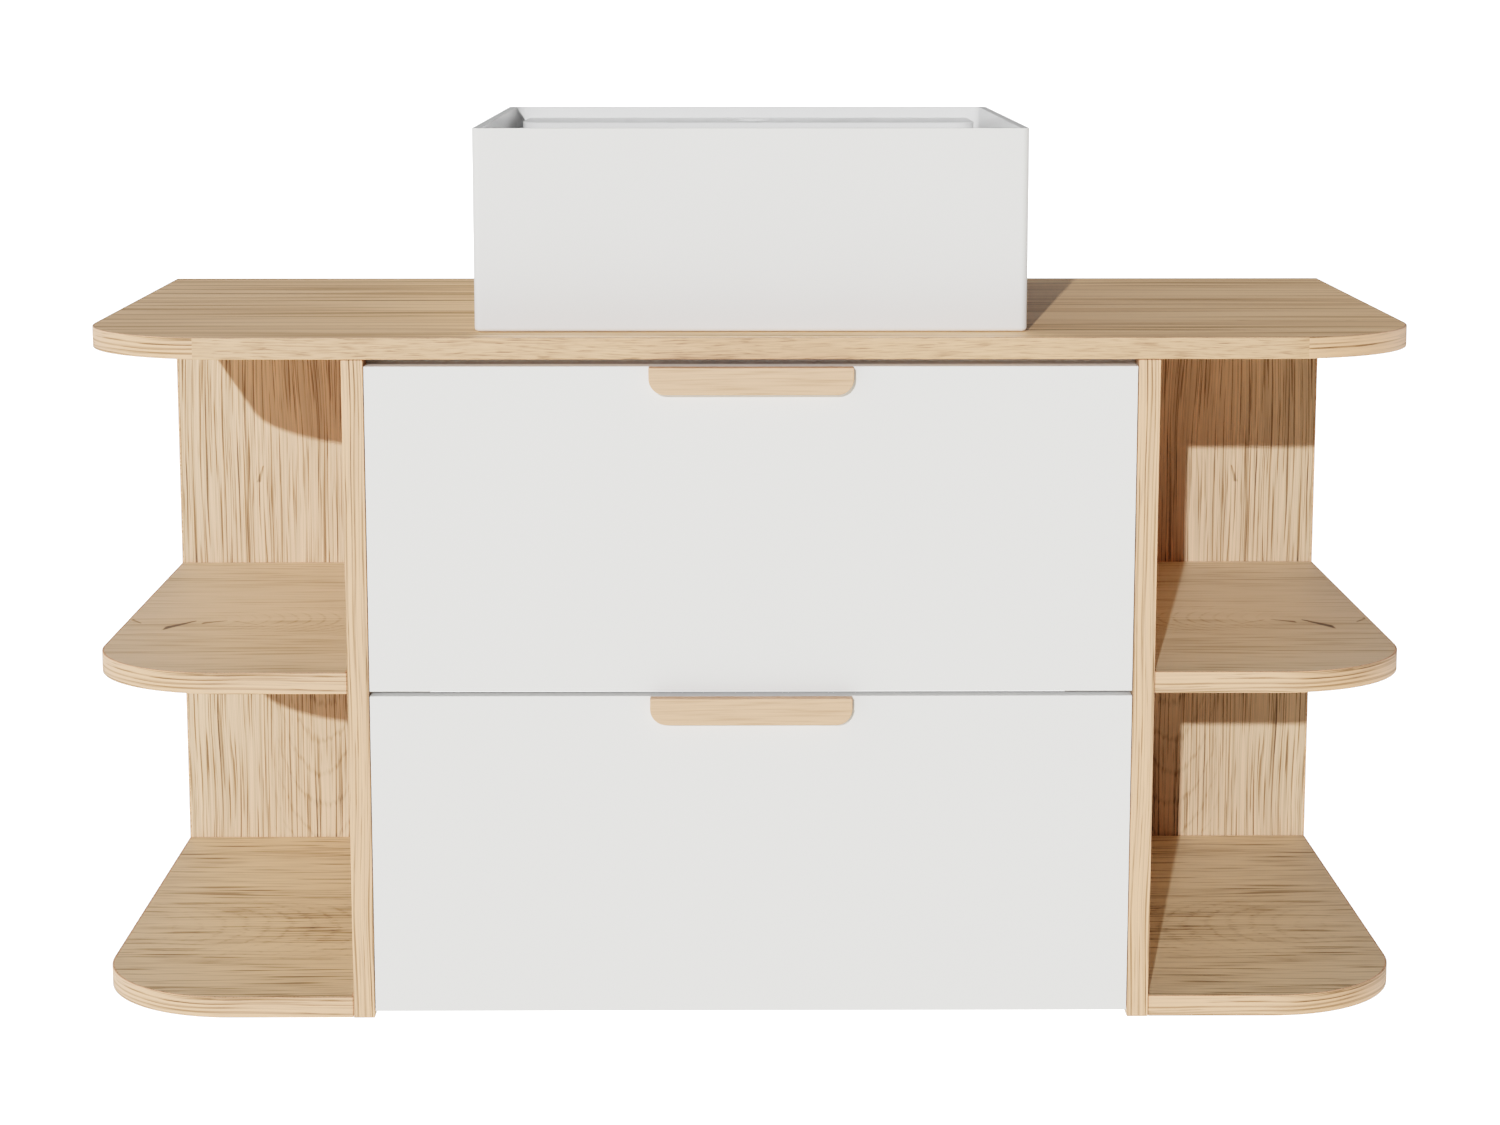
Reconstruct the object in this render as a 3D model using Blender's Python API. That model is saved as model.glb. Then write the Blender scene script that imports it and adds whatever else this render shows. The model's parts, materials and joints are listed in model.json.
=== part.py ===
"""Wall-hung bathroom vanity: two drawers between open shelf units, and a square vessel basin on top.

Axes: X runs across the front, Y runs into the wall and Z is up, all in metres. The wall plane is Y = 0,
so the front is at -Y, and left and right are as seen from the front. Heights in the functions below are
counted from the underside of the cabinet; the parent empty shifts them, so that the origin of the part is
on the wall, at the centre of the hanging rail.
"""
import math

import bmesh
import bpy
from mathutils import Matrix

# Driving dimensions.
WIDTH = 1.000
DEPTH = 0.480
BODY_HEIGHT = 0.500
CABINET_WIDTH = 0.600
BOARD = 0.016
GAP = 0.0003
CORNER_RADIUS = 0.110
CORNER_STEPS = 12

# Side shelf units.
SHELF_SETBACK = 0.001
SHELF_CORNER_RADIUS = 0.105
MIDDLE_SHELF_HEIGHT = 0.250

# Rails between the partitions.
RAIL_HEIGHT = 0.100
LOWER_RAIL_HEIGHT = 0.080
CROSSBAR_DEPTH = 0.080
CROSSBAR_SETBACK = 0.006
BRACKET_LEG = 0.055
BRACKET_HEIGHT = 0.060
BRACKET_SHEET = 0.0025
BRACKET_HOLE_RADIUS = 0.003
BRACKET_HOLE_FROM_EDGE = 0.015
BRACKET_HOLE_FROM_CORNER = 0.033

# Drawers: fronts, boxes behind them and the well round the trap.
FRONT_SIDE_GAP = 0.0006
FRONT_TOP_GAP = 0.005
FRONT_BETWEEN_GAP = 0.0035
FRONT_HEIGHT = 0.243
DRAWER_LENGTH = 0.420
DRAWER_SIDE_HEIGHT = 0.130
DRAWER_SIDE = 0.012
DRAWER_BOTTOM = 0.006
BOX_RISE = 0.015
BOTTOM_RISE = 0.010
GROOVE_DEPTH = 0.005
WELL_HALF_WIDTH = 0.060
WELL_FRONT_Y = -0.320
WELL_BOARD = 0.010

# Ball-bearing runners: each one is a cabinet, a middle and a drawer member. For every member: how far its
# web and its flange edges stand off the partition, and half of its height.
RUNNER_SPACE = 0.0127
RUNNER_LENGTH = 0.400
RUNNER_REAR_Y = -0.055
RUNNER_SHEET = 0.0012
CABINET_MEMBER = (GAP, 0.0090, 0.0225)
MIDDLE_MEMBER = (0.0024, 0.0100, 0.0200)
DRAWER_MEMBER = (RUNNER_SPACE - GAP, 0.0048, 0.0172)

# Wooden pulls and their screws.
PULL_WIDTH = 0.150
PULL_HEIGHT = 0.020
PULL_THICKNESS = 0.010
PULL_CORNER_RADIUS = 0.012
SCREW_SPACING = 0.096
SCREW_RADIUS = 0.002
SCREW_HEAD_RADIUS = 0.004
SCREW_HEAD = 0.0024
SCREW_GRIP = 0.007

# Basin.
BASIN_WIDTH = 0.410
BASIN_DEPTH = 0.420
BASIN_HEIGHT = 0.150
BASIN_SETBACK = 0.038
BASIN_CORNER_RADIUS = 0.005
RIM = 0.006
BAND_DEPTH = 0.009
BOWL_DEPTH = 0.120
BOWL_INSET = 0.034
BOWL_TOP_RADIUS = 0.008
BOWL_FLOOR_RADIUS = 0.047
BOWL_STEPS = 7
WALL_CURVE = 0.8
CERAMIC = 0.012
SKIRT = 0.009
TAP_DECK_LENGTH = 0.106
TAP_DECK_HALF_WIDTH = 0.188
TAP_DECK_RADIUS = 0.018
TAP_HOLE_RADIUS = 0.0175
TAP_HOLE_FROM_BACK = 0.060
HOSE_HOLE_RADIUS = 0.025

# Waste: a flanged tube that clamps the basin to the worktop, with a cap on a stem.
DRAIN_Y = -0.285
TUBE_RADIUS = 0.0215
TUBE_WALL = 0.003
TUBE_END_HEIGHT = 0.440
FLANGE_RADIUS = 0.031
FLANGE_THICKNESS = 0.0025
FLANGE_RECESS = 0.0045
FLANGE_EDGE = 0.001
SEAL_THICKNESS = 0.0009
WASHER_RADIUS = 0.034
WASHER_THICKNESS = 0.0025
WASTE_NUT_RADIUS = 0.035
WASTE_NUT_HEIGHT = 0.010
GUIDE_HEIGHT = 0.515
GUIDE_HALF_THICKNESS = 0.003
STEM_RADIUS = 0.004
STEM_END_HEIGHT = 0.501
CAP_EDGE = 0.0015
CAP_DOME = 0.002

# Bottle trap, in 32 mm pipe.
PIPE_RADIUS = 0.016
PIPE_WALL = 0.0015
PIPE_GRIP = 0.012
TRAP_RADIUS = 0.031
TRAP_WALL = 0.003
TRAP_HALF_HEIGHT = 0.030
TRAP_SHOULDER = 0.006
TRAP_NECK_RADIUS = 0.021
TRAP_NECK_HEIGHT = 0.016
CUP_HEIGHT = 0.040
CUP_EDGE = 0.008
CUP_COLLAR_HEIGHT = 0.010
DIP = 0.015
OUTLET_HEIGHT = 0.355
SPIGOT_RADIUS = 0.020
SPIGOT_LENGTH = 0.028
SLIP_NUT_RADIUS = 0.027
OUTLET_NUT_RADIUS = 0.0255
SLIP_NUT_GRIP = 0.014
SLIP_NUT_CAP = 0.010
ROSETTE_RADIUS = 0.034
ROSETTE_DEPTH = 0.012

# Modelling allowances: how far a cutter reaches past what it cuts, and the distance that welds a seam.
OVERCUT = 0.014
WELD = 0.00002

# Worked out from the above.
SIDES = ((-1, "left"), (1, "right"))
HALF_CABINET = CABINET_WIDTH / 2
HALF_INSIDE = HALF_CABINET - BOARD
HALF_BOX = HALF_INSIDE - RUNNER_SPACE
HALF_BOX_INSIDE = HALF_BOX - DRAWER_SIDE - GAP
HALF_BOTTOM = HALF_BOX_INSIDE + GROOVE_DEPTH - GAP
WORKTOP_TOP = BODY_HEIGHT + BOARD
RAIL_CENTRE_HEIGHT = BODY_HEIGHT - GAP - RAIL_HEIGHT / 2
FRONT_BACK_Y = -DEPTH + BOARD
BOX_FRONT_Y = FRONT_BACK_Y + GAP
BOX_BACK_Y = BOX_FRONT_Y + DRAWER_LENGTH
UPPER_FRONT_HEIGHT = BODY_HEIGHT - FRONT_TOP_GAP - FRONT_HEIGHT
LOWER_FRONT_HEIGHT = UPPER_FRONT_HEIGHT - FRONT_BETWEEN_GAP - FRONT_HEIGHT
BASIN_BASE = WORKTOP_TOP + GAP
BASIN_TOP = BASIN_BASE + BASIN_HEIGHT
BASIN_FRONT_Y = -DEPTH + BASIN_SETBACK
BASIN_BACK_Y = BASIN_FRONT_Y + BASIN_DEPTH
TAP_Y = BASIN_BACK_Y - TAP_HOLE_FROM_BACK
DRAIN_HOLE_RADIUS = TUBE_RADIUS + 0.0025
DECK_TOP = BASIN_TOP - BAND_DEPTH
BOWL_FLOOR = BASIN_TOP - BOWL_DEPTH
SEAL_TOP = BOWL_FLOOR - FLANGE_RECESS + GAP + SEAL_THICKNESS
FLANGE_TOP = SEAL_TOP + GAP + FLANGE_THICKNESS
TRAP_INSIDE = TRAP_RADIUS - TRAP_WALL
SPIGOT_END = TRAP_RADIUS + SPIGOT_LENGTH
SLIDING_FIT = PIPE_RADIUS + GAP


# ---------------------------------------------------------------- building blocks

def clear_scene():
    for item in list(bpy.data.objects):
        bpy.data.objects.remove(item, do_unlink=True)


def make_material(name, colour, roughness, metallic=0.0):
    material = bpy.data.materials.new(name)
    material.use_nodes = True
    shader = material.node_tree.nodes["Principled BSDF"]
    shader.inputs["Base Color"].default_value = (*colour, 1.0)
    shader.inputs["Roughness"].default_value = roughness
    shader.inputs["Metallic"].default_value = metallic
    return material


def make_empty(name, location, parent=None):
    empty = bpy.data.objects.new(name, None)
    empty.location = location
    empty.parent = parent
    bpy.context.scene.collection.objects.link(empty)
    return empty


def add_object(name, bm, location, material, parent):
    """Turn a closed bmesh into an object; location is in cabinet coordinates, not the parent's."""
    bmesh.ops.recalc_face_normals(bm, faces=bm.faces[:])
    mesh = bpy.data.meshes.new(name)
    bm.to_mesh(mesh)
    bm.free()
    obj = bpy.data.objects.new(name, mesh)
    if material:
        mesh.materials.append(material)
    obj.parent = parent
    offset = parent.location if parent.parent else (0.0, 0.0, 0.0)
    obj.location = [place - shift for place, shift in zip(location, offset)]
    bpy.context.scene.collection.objects.link(obj)
    return obj


def add_block(name, x_range, y_range, height_range, material, parent):
    ranges = (x_range, y_range, height_range)
    size = [high - low for low, high in ranges]
    centre = [(high + low) / 2 for low, high in ranges]
    bm = bmesh.new()
    bmesh.ops.create_cube(bm, size=1.0)
    bmesh.ops.scale(bm, vec=size, verts=bm.verts[:])
    return add_object(name, bm, centre, material, parent)


def add_prism(name, outline, axis, start, end, material, parent):
    """Extrude a closed outline along X, Y or Z; its points are given in the other two axes, in order."""
    order = {"X": (2, 0, 1), "Y": (0, 2, 1), "Z": (0, 1, 2)}[axis]
    bm = bmesh.new()
    corners = []
    for first, second in outline:
        values = (first, second, start)
        corners.append(bm.verts.new([values[index] for index in order]))
    face = bm.faces.new(corners)
    extruded = bmesh.ops.extrude_face_region(bm, geom=[face])
    moved = [item for item in extruded["geom"] if isinstance(item, bmesh.types.BMVert)]
    direction = [0.0, 0.0, 0.0]
    direction["XYZ".index(axis)] = end - start
    bmesh.ops.translate(bm, vec=direction, verts=moved)
    return add_object(name, bm, (0.0, 0.0, 0.0), material, parent)


def add_turned(name, profile, location, axis, material, parent, segments=28):
    """Spin (radius, height) points round Z, or round Y if asked; a hollow profile is a closed loop."""
    hollow = min(radius for radius, _ in profile) > 0.0
    bm = bmesh.new()
    verts = [bm.verts.new((radius, 0.0, height)) for radius, height in profile]
    count = len(verts) if hollow else len(verts) - 1
    edges = [bm.edges.new((verts[index], verts[(index + 1) % len(verts)])) for index in range(count)]
    bmesh.ops.spin(bm, geom=verts + edges, cent=(0, 0, 0), axis=(0, 0, 1), angle=2 * math.pi,
                   steps=segments, use_merge=True)
    bmesh.ops.remove_doubles(bm, verts=bm.verts[:], dist=WELD)
    if axis == "Y":
        to_y = Matrix.Rotation(-math.pi / 2, 3, "X")
        bmesh.ops.rotate(bm, cent=(0, 0, 0), matrix=to_y, verts=bm.verts[:])
    obj = add_object(name, bm, location, material, parent)
    obj.data.shade_smooth()
    obj.data.set_sharp_from_angle(angle=math.radians(40))
    return obj


def rod_profile(radius, low, high):
    return [(0.0, low), (radius, low), (radius, high), (0.0, high)]


def ring_profile(inner, outer, low, high):
    return [(inner, low), (outer, low), (outer, high), (inner, high)]


def add_boolean(obj, other, operation):
    """Cut or join with another object, which is then only a guide."""
    modifier = obj.modifiers.new(operation.lower() + "_" + other.name, "BOOLEAN")
    modifier.operation = operation
    modifier.solver = "EXACT"
    modifier.object = other
    other.hide_render = True
    other.display_type = "WIRE"


def add_hole(name, obj, x, y, height_range, radius, parent):
    profile = rod_profile(radius, *height_range)
    cutter = add_turned(name, profile, (x, y, 0.0), "Z", None, parent)
    add_boolean(obj, cutter, "DIFFERENCE")


def rounded_rectangle(x_range, y_range, radii, steps):
    """Outline with its own radius at each corner, from front left anticlockwise seen from above."""
    low_x, high_x = x_range
    low_y, high_y = y_range
    corners = ((low_x, low_y, 1, 1), (high_x, low_y, -1, 1),
               (high_x, high_y, -1, -1), (low_x, high_y, 1, -1))
    points = []
    for index, ((x, y, toward_x, toward_y), radius) in enumerate(zip(corners, radii)):
        if radius == 0.0:
            points.append((x, y))
            continue
        start = math.pi + index * math.pi / 2
        for step in range(steps + 1):
            angle = start + step * math.pi / 2 / steps
            points.append((x + toward_x * radius + radius * math.cos(angle),
                           y + toward_y * radius + radius * math.sin(angle)))
    return points


def add_loft(name, rings, material, parent):
    """Skin a stack of outlines with equal point counts; each ring is (height, outline), lowest first."""
    bm = bmesh.new()
    loops = [[bm.verts.new((x, y, height)) for x, y in outline] for height, outline in rings]
    for below, above in zip(loops, loops[1:]):
        for index, vertex in enumerate(below):
            following = (index + 1) % len(below)
            bm.faces.new((vertex, below[following], above[following], above[index]))
    bm.faces.new(list(reversed(loops[0])))
    bm.faces.new(loops[-1])
    return add_object(name, bm, (0.0, 0.0, 0.0), material, parent)


def side_range(side, near, far):
    """X range between two distances from the centre plane, on the left (-1) or right (+1) side."""
    return tuple(sorted((side * near, side * far)))


# ---------------------------------------------------------------- casework

def build_worktop(materials, parent):
    radii = (CORNER_RADIUS, CORNER_RADIUS, 0.0, 0.0)
    outline = rounded_rectangle((-WIDTH / 2, WIDTH / 2), (-DEPTH, 0.0), radii, CORNER_STEPS)
    worktop = add_prism("worktop", outline, "Z", BODY_HEIGHT, WORKTOP_TOP, materials["oak"], parent)
    through = (BODY_HEIGHT - OVERCUT, WORKTOP_TOP + OVERCUT)
    add_hole("worktop_drain_cutter", worktop, 0.0, DRAIN_Y, through, DRAIN_HOLE_RADIUS, parent)
    add_hole("worktop_hose_cutter", worktop, 0.0, TAP_Y, through, HOSE_HOLE_RADIUS, parent)


def build_partitions(materials, parent):
    for side, word in SIDES:
        add_block(word + "_partition", side_range(side, HALF_INSIDE, HALF_CABINET), (-DEPTH, 0.0),
                  (0.0, BODY_HEIGHT - GAP), materials["oak"], parent)


def build_shelf_units(materials, parent):
    levels = (("bottom", 0.0), ("middle", MIDDLE_SHELF_HEIGHT))
    for side, word in SIDES:
        x_range = side_range(side, HALF_CABINET + GAP, WIDTH / 2)
        add_block(word + "_back_panel", x_range, (-BOARD, 0.0), (0.0, BODY_HEIGHT - GAP), materials["oak"],
                  parent)
        left_radius = SHELF_CORNER_RADIUS if word == "left" else 0.0
        radii = (left_radius, SHELF_CORNER_RADIUS - left_radius, 0.0, 0.0)
        y_range = (-DEPTH + SHELF_SETBACK, -BOARD - GAP)
        outline = rounded_rectangle(x_range, y_range, radii, CORNER_STEPS)
        for level, height in levels:
            add_prism(f"{word}_{level}_shelf", outline, "Z", height, height + BOARD,
                      materials["oak"], parent)


def build_rails(materials, parent):
    white = materials["white"]
    x_range = (-HALF_INSIDE + GAP, HALF_INSIDE - GAP)
    top = BODY_HEIGHT - GAP
    front = FRONT_BACK_Y + CROSSBAR_SETBACK
    add_block("hanging_rail", x_range, (-BOARD, 0.0), (top - RAIL_HEIGHT, top), white, parent)
    add_block("lower_rail", x_range, (-BOARD, 0.0), (0.0, LOWER_RAIL_HEIGHT), white, parent)
    add_block("front_crossbar", x_range, (front, front + CROSSBAR_DEPTH), (top - BOARD, top), white, parent)


def bracket_outline(corner_x, corner_y, toward_x):
    """L section in the corner of a partition and the hanging rail, seen from above."""
    sheet_x = corner_x + toward_x * BRACKET_SHEET
    leg_x = corner_x + toward_x * BRACKET_LEG
    sheet_y = corner_y - BRACKET_SHEET
    leg_y = corner_y - BRACKET_LEG
    return [(corner_x, corner_y), (leg_x, corner_y), (leg_x, sheet_y), (sheet_x, sheet_y), (sheet_x, leg_y),
            (corner_x, leg_y)]


def build_hanging_brackets(materials, parent):
    low = RAIL_CENTRE_HEIGHT - BRACKET_HEIGHT / 2
    high = low + BRACKET_HEIGHT
    rail_y = -BOARD - GAP
    hole = rod_profile(BRACKET_HOLE_RADIUS, -OVERCUT, OVERCUT)
    for side, word in SIDES:
        corner_x = side * (HALF_INSIDE - GAP)
        outline = bracket_outline(corner_x, rail_y, -side)
        bracket = add_prism(word + "_hanging_bracket", outline, "Z", low, high,
                            materials["steel"], parent)
        hole_x = corner_x - side * BRACKET_HOLE_FROM_CORNER
        holes = (("low", low + BRACKET_HOLE_FROM_EDGE), ("high", high - BRACKET_HOLE_FROM_EDGE))
        for level, height in holes:
            cutter = add_turned(f"{word}_bracket_cutter_{level}", hole, (hole_x, rail_y, height), "Y", None,
                                parent, segments=12)
            add_boolean(bracket, cutter, "DIFFERENCE")


# ---------------------------------------------------------------- drawers

def build_front_and_pull(level, front_height, materials, parent):
    """The front, the pull flush with its top edge, and the two screws that hold the pull from inside."""
    half = HALF_INSIDE - FRONT_SIDE_GAP
    top = front_height + FRONT_HEIGHT
    front = add_block(level + "_drawer_front", (-half, half), (-DEPTH, FRONT_BACK_Y), (front_height, top),
                      materials["white"], parent)
    radii = (PULL_CORNER_RADIUS, PULL_CORNER_RADIUS, 0.0, 0.0)
    outline = rounded_rectangle((-PULL_WIDTH / 2, PULL_WIDTH / 2), (top - PULL_HEIGHT, top), radii, 6)
    face_y = -DEPTH - GAP
    pull = add_prism(level + "_drawer_pull", outline, "Y", face_y - PULL_THICKNESS, face_y,
                     materials["oak"], parent)
    seat_y = FRONT_BACK_Y + GAP
    shank = seat_y + DEPTH + SCREW_GRIP
    screw = [(0.0, -shank), (SCREW_RADIUS, -shank), (SCREW_RADIUS, 0.0), (SCREW_HEAD_RADIUS, 0.0),
             (SCREW_HEAD_RADIUS, SCREW_HEAD / 2), (SCREW_HEAD_RADIUS / 2, SCREW_HEAD), (0.0, SCREW_HEAD)]
    bore = rod_profile(SCREW_RADIUS + GAP, -shank - GAP, OVERCUT)
    for side, word in SIDES:
        place = (side * SCREW_SPACING / 2, seat_y, top - PULL_HEIGHT / 2)
        add_turned(f"{level}_pull_screw_{word}", screw, place, "Y", materials["steel"], parent, segments=12)
        cutter = add_turned(f"{level}_pull_cutter_{word}", bore, place, "Y", None, parent, segments=12)
        add_boolean(front, cutter, "DIFFERENCE")
        add_boolean(pull, cutter, "DIFFERENCE")


def build_drawer_sides(level, front_height, materials, parent):
    """Sides with a groove along the inside, which holds the edge of the drawer bottom."""
    low = front_height + BOX_RISE
    high = low + DRAWER_SIDE_HEIGHT
    groove_low = low + BOTTOM_RISE - GAP
    groove_high = low + BOTTOM_RISE + DRAWER_BOTTOM + GAP
    for side, word in SIDES:
        outside = side * HALF_BOX
        inside = side * (HALF_BOX - DRAWER_SIDE)
        bed = inside + side * GROOVE_DEPTH
        outline = [(outside, low), (outside, high), (inside, high), (inside, groove_high),
                   (bed, groove_high), (bed, groove_low), (inside, groove_low), (inside, low)]
        add_prism(f"{level}_drawer_{word}_side", outline, "Y", BOX_FRONT_Y, BOX_BACK_Y,
                  materials["melamine"], parent)


def build_upper_box(floor, top, materials, parent):
    """Bottom and back with a well, which leaves room for the trap as the drawer slides."""
    outline = [(-HALF_BOTTOM, BOX_FRONT_Y), (HALF_BOTTOM, BOX_FRONT_Y), (HALF_BOTTOM, BOX_BACK_Y),
               (WELL_HALF_WIDTH, BOX_BACK_Y), (WELL_HALF_WIDTH, WELL_FRONT_Y),
               (-WELL_HALF_WIDTH, WELL_FRONT_Y), (-WELL_HALF_WIDTH, BOX_BACK_Y), (-HALF_BOTTOM, BOX_BACK_Y)]
    add_prism("upper_drawer_bottom", outline, "Z", floor, floor + DRAWER_BOTTOM, materials["hardboard"],
              parent)
    heights = (floor + DRAWER_BOTTOM + GAP, top)
    melamine = materials["melamine"]
    well_outside = WELL_HALF_WIDTH + WELL_BOARD
    for side, word in SIDES:
        add_block("upper_drawer_back_" + word, side_range(side, well_outside + GAP, HALF_BOX_INSIDE),
                  (BOX_BACK_Y - DRAWER_SIDE, BOX_BACK_Y), heights, melamine, parent)
        add_block("upper_drawer_well_" + word, side_range(side, WELL_HALF_WIDTH, well_outside),
                  (WELL_FRONT_Y, BOX_BACK_Y), heights, melamine, parent)
    add_block("upper_drawer_well_front", (-well_outside, well_outside),
              (WELL_FRONT_Y - GAP - WELL_BOARD, WELL_FRONT_Y - GAP), heights, melamine, parent)


def build_lower_box(floor, top, materials, parent):
    add_block("lower_drawer_bottom", (-HALF_BOTTOM, HALF_BOTTOM), (BOX_FRONT_Y, BOX_BACK_Y),
              (floor, floor + DRAWER_BOTTOM), materials["hardboard"], parent)
    add_block("lower_drawer_back", (-HALF_BOX_INSIDE, HALF_BOX_INSIDE),
              (BOX_BACK_Y - DRAWER_SIDE, BOX_BACK_Y), (floor + DRAWER_BOTTOM + GAP, top),
              materials["melamine"], parent)


def channel_outline(web_x, edge_x, centre_height, half_height):
    """C section: the web at web_x, and flanges that reach to edge_x."""
    inner_x = web_x + math.copysign(RUNNER_SHEET, edge_x - web_x)
    low = centre_height - half_height
    high = centre_height + half_height
    inner_low = low + RUNNER_SHEET
    inner_high = high - RUNNER_SHEET
    return [(web_x, low), (edge_x, low), (edge_x, inner_low), (inner_x, inner_low),
            (inner_x, inner_high), (edge_x, inner_high), (edge_x, high), (web_x, high)]


def build_runners(level, centre_height, materials, carcass, middle, drawer):
    """Three nested channels on each side; the middle one travels half as far as the drawer."""
    members = (("cabinet", CABINET_MEMBER, carcass), ("middle", MIDDLE_MEMBER, middle),
               ("drawer", DRAWER_MEMBER, drawer))
    for side, word in SIDES:
        for member, (web, edge, half_height), parent in members:
            web_x = side * (HALF_INSIDE - web)
            edge_x = side * (HALF_INSIDE - edge)
            outline = channel_outline(web_x, edge_x, centre_height, half_height)
            add_prism(f"{level}_{word}_runner_{member}", outline, "Y", RUNNER_REAR_Y - RUNNER_LENGTH,
                      RUNNER_REAR_Y, materials["steel"], parent)


# ---------------------------------------------------------------- basin

def bowl_rings(grown):
    """Outlines of the bowl from its floor up, all moved outwards and downwards by the grown distance.

    The wall follows a quarter wave: steep at the rim and flat where it meets the floor, while the corners
    open up from BOWL_TOP_RADIUS at the rim to BOWL_FLOOR_RADIUS at the floor.
    """
    half = BASIN_WIDTH / 2 - RIM + grown
    front = BASIN_FRONT_Y + RIM - grown
    back = BASIN_BACK_Y - RIM + grown
    floor = BOWL_FLOOR - grown
    rings = []
    for step in range(BOWL_STEPS + 1):
        turn = step / BOWL_STEPS * math.pi / 2
        slack = 1 - math.sin(turn)
        inset = (BOWL_INSET + grown / 2) * slack
        height = floor + (DECK_TOP - floor) * (1 - math.cos(turn)) ** WALL_CURVE
        radius = BOWL_TOP_RADIUS + (BOWL_FLOOR_RADIUS - BOWL_TOP_RADIUS) * slack
        outline = rounded_rectangle((-half + inset, half - inset), (front + inset, back - inset),
                                    (radius,) * 4, 5)
        rings.append((height, outline))
    rings.append((BASIN_TOP + OVERCUT, rings[-1][1]))
    return rings


def add_deck_block(name, shrink, top, parent):
    """Block under the tap deck: rounded front corners, and open towards the back wall of the basin."""
    half = TAP_DECK_HALF_WIDTH - shrink
    front = BASIN_BACK_Y - RIM - TAP_DECK_LENGTH + shrink
    radii = (TAP_DECK_RADIUS, TAP_DECK_RADIUS, 0.0, 0.0)
    outline = rounded_rectangle((-half, half), (front, BASIN_BACK_Y + OVERCUT), radii, 6)
    return add_prism(name, outline, "Z", BASIN_BASE - OVERCUT, top, None, parent)


def add_bowl_cutter(parent):
    bowl = add_loft("bowl_cutter", bowl_rings(0.0), None, parent)
    deck = add_deck_block("tap_deck_guide", 0.0, DECK_TOP, parent)
    add_boolean(bowl, deck, "DIFFERENCE")
    return bowl


def add_underside_cutter(parent):
    """The hollow under the bowl and the tap deck, open at the bottom as in cast ceramic."""
    half = BASIN_WIDTH / 2 - SKIRT
    outline = rounded_rectangle((-half, half), (BASIN_FRONT_Y + SKIRT, BASIN_BACK_Y - SKIRT),
                                (BASIN_CORNER_RADIUS,) * 4, 4)
    hollow_top = DECK_TOP - CERAMIC
    hollow = add_prism("underside_cutter", outline, "Z", BASIN_BASE - OVERCUT, hollow_top, None, parent)
    shell = add_loft("bowl_shell_guide", bowl_rings(CERAMIC), None, parent)
    deck = add_deck_block("deck_hollow_guide", CERAMIC, hollow_top + GAP, parent)
    add_boolean(shell, deck, "DIFFERENCE")
    add_boolean(hollow, shell, "DIFFERENCE")
    profile = rod_profile(TUBE_RADIUS + CERAMIC, BASIN_BASE - 2 * OVERCUT, BOWL_FLOOR - CERAMIC / 2)
    boss = add_turned("drain_boss_guide", profile, (0.0, DRAIN_Y, 0.0), "Z", None, parent)
    add_boolean(hollow, boss, "DIFFERENCE")
    return hollow


def build_basin(materials, parent):
    outline = rounded_rectangle((-BASIN_WIDTH / 2, BASIN_WIDTH / 2), (BASIN_FRONT_Y, BASIN_BACK_Y),
                                (BASIN_CORNER_RADIUS,) * 4, 4)
    basin = add_prism("basin", outline, "Z", BASIN_BASE, BASIN_TOP, materials["ceramic"], parent)
    add_boolean(basin, add_bowl_cutter(parent), "DIFFERENCE")
    add_boolean(basin, add_underside_cutter(parent), "DIFFERENCE")
    add_hole("tap_hole_cutter", basin, 0.0, TAP_Y, (BASIN_BASE, BASIN_TOP), TAP_HOLE_RADIUS, parent)
    add_hole("drain_hole_cutter", basin, 0.0, DRAIN_Y, (BASIN_BASE - OVERCUT, BASIN_TOP),
             TUBE_RADIUS + FLANGE_EDGE, parent)
    add_hole("flange_recess_cutter", basin, 0.0, DRAIN_Y, (BOWL_FLOOR - FLANGE_RECESS, BASIN_TOP),
             FLANGE_RADIUS + FLANGE_EDGE, parent)


# ---------------------------------------------------------------- waste and trap

def build_seals_and_nut(materials, parent):
    """Gasket under the flange, and the washer and nut under the worktop."""
    place = (0.0, DRAIN_Y, 0.0)
    fit = TUBE_RADIUS + GAP
    gasket = ring_profile(fit, FLANGE_RADIUS - FLANGE_EDGE, SEAL_TOP - SEAL_THICKNESS, SEAL_TOP)
    washer_top = BODY_HEIGHT - GAP
    washer_low = washer_top - WASHER_THICKNESS
    nut_top = washer_low - GAP
    washer = ring_profile(fit, WASHER_RADIUS, washer_low, washer_top)
    nut = ring_profile(fit, WASTE_NUT_RADIUS, nut_top - WASTE_NUT_HEIGHT, nut_top)
    add_turned("basin_gasket", gasket, place, "Z", materials["rubber"], parent)
    add_turned("waste_washer", washer, place, "Z", materials["rubber"], parent)
    add_turned("waste_nut", nut, place, "Z", materials["brass"], parent, segments=24)


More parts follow.
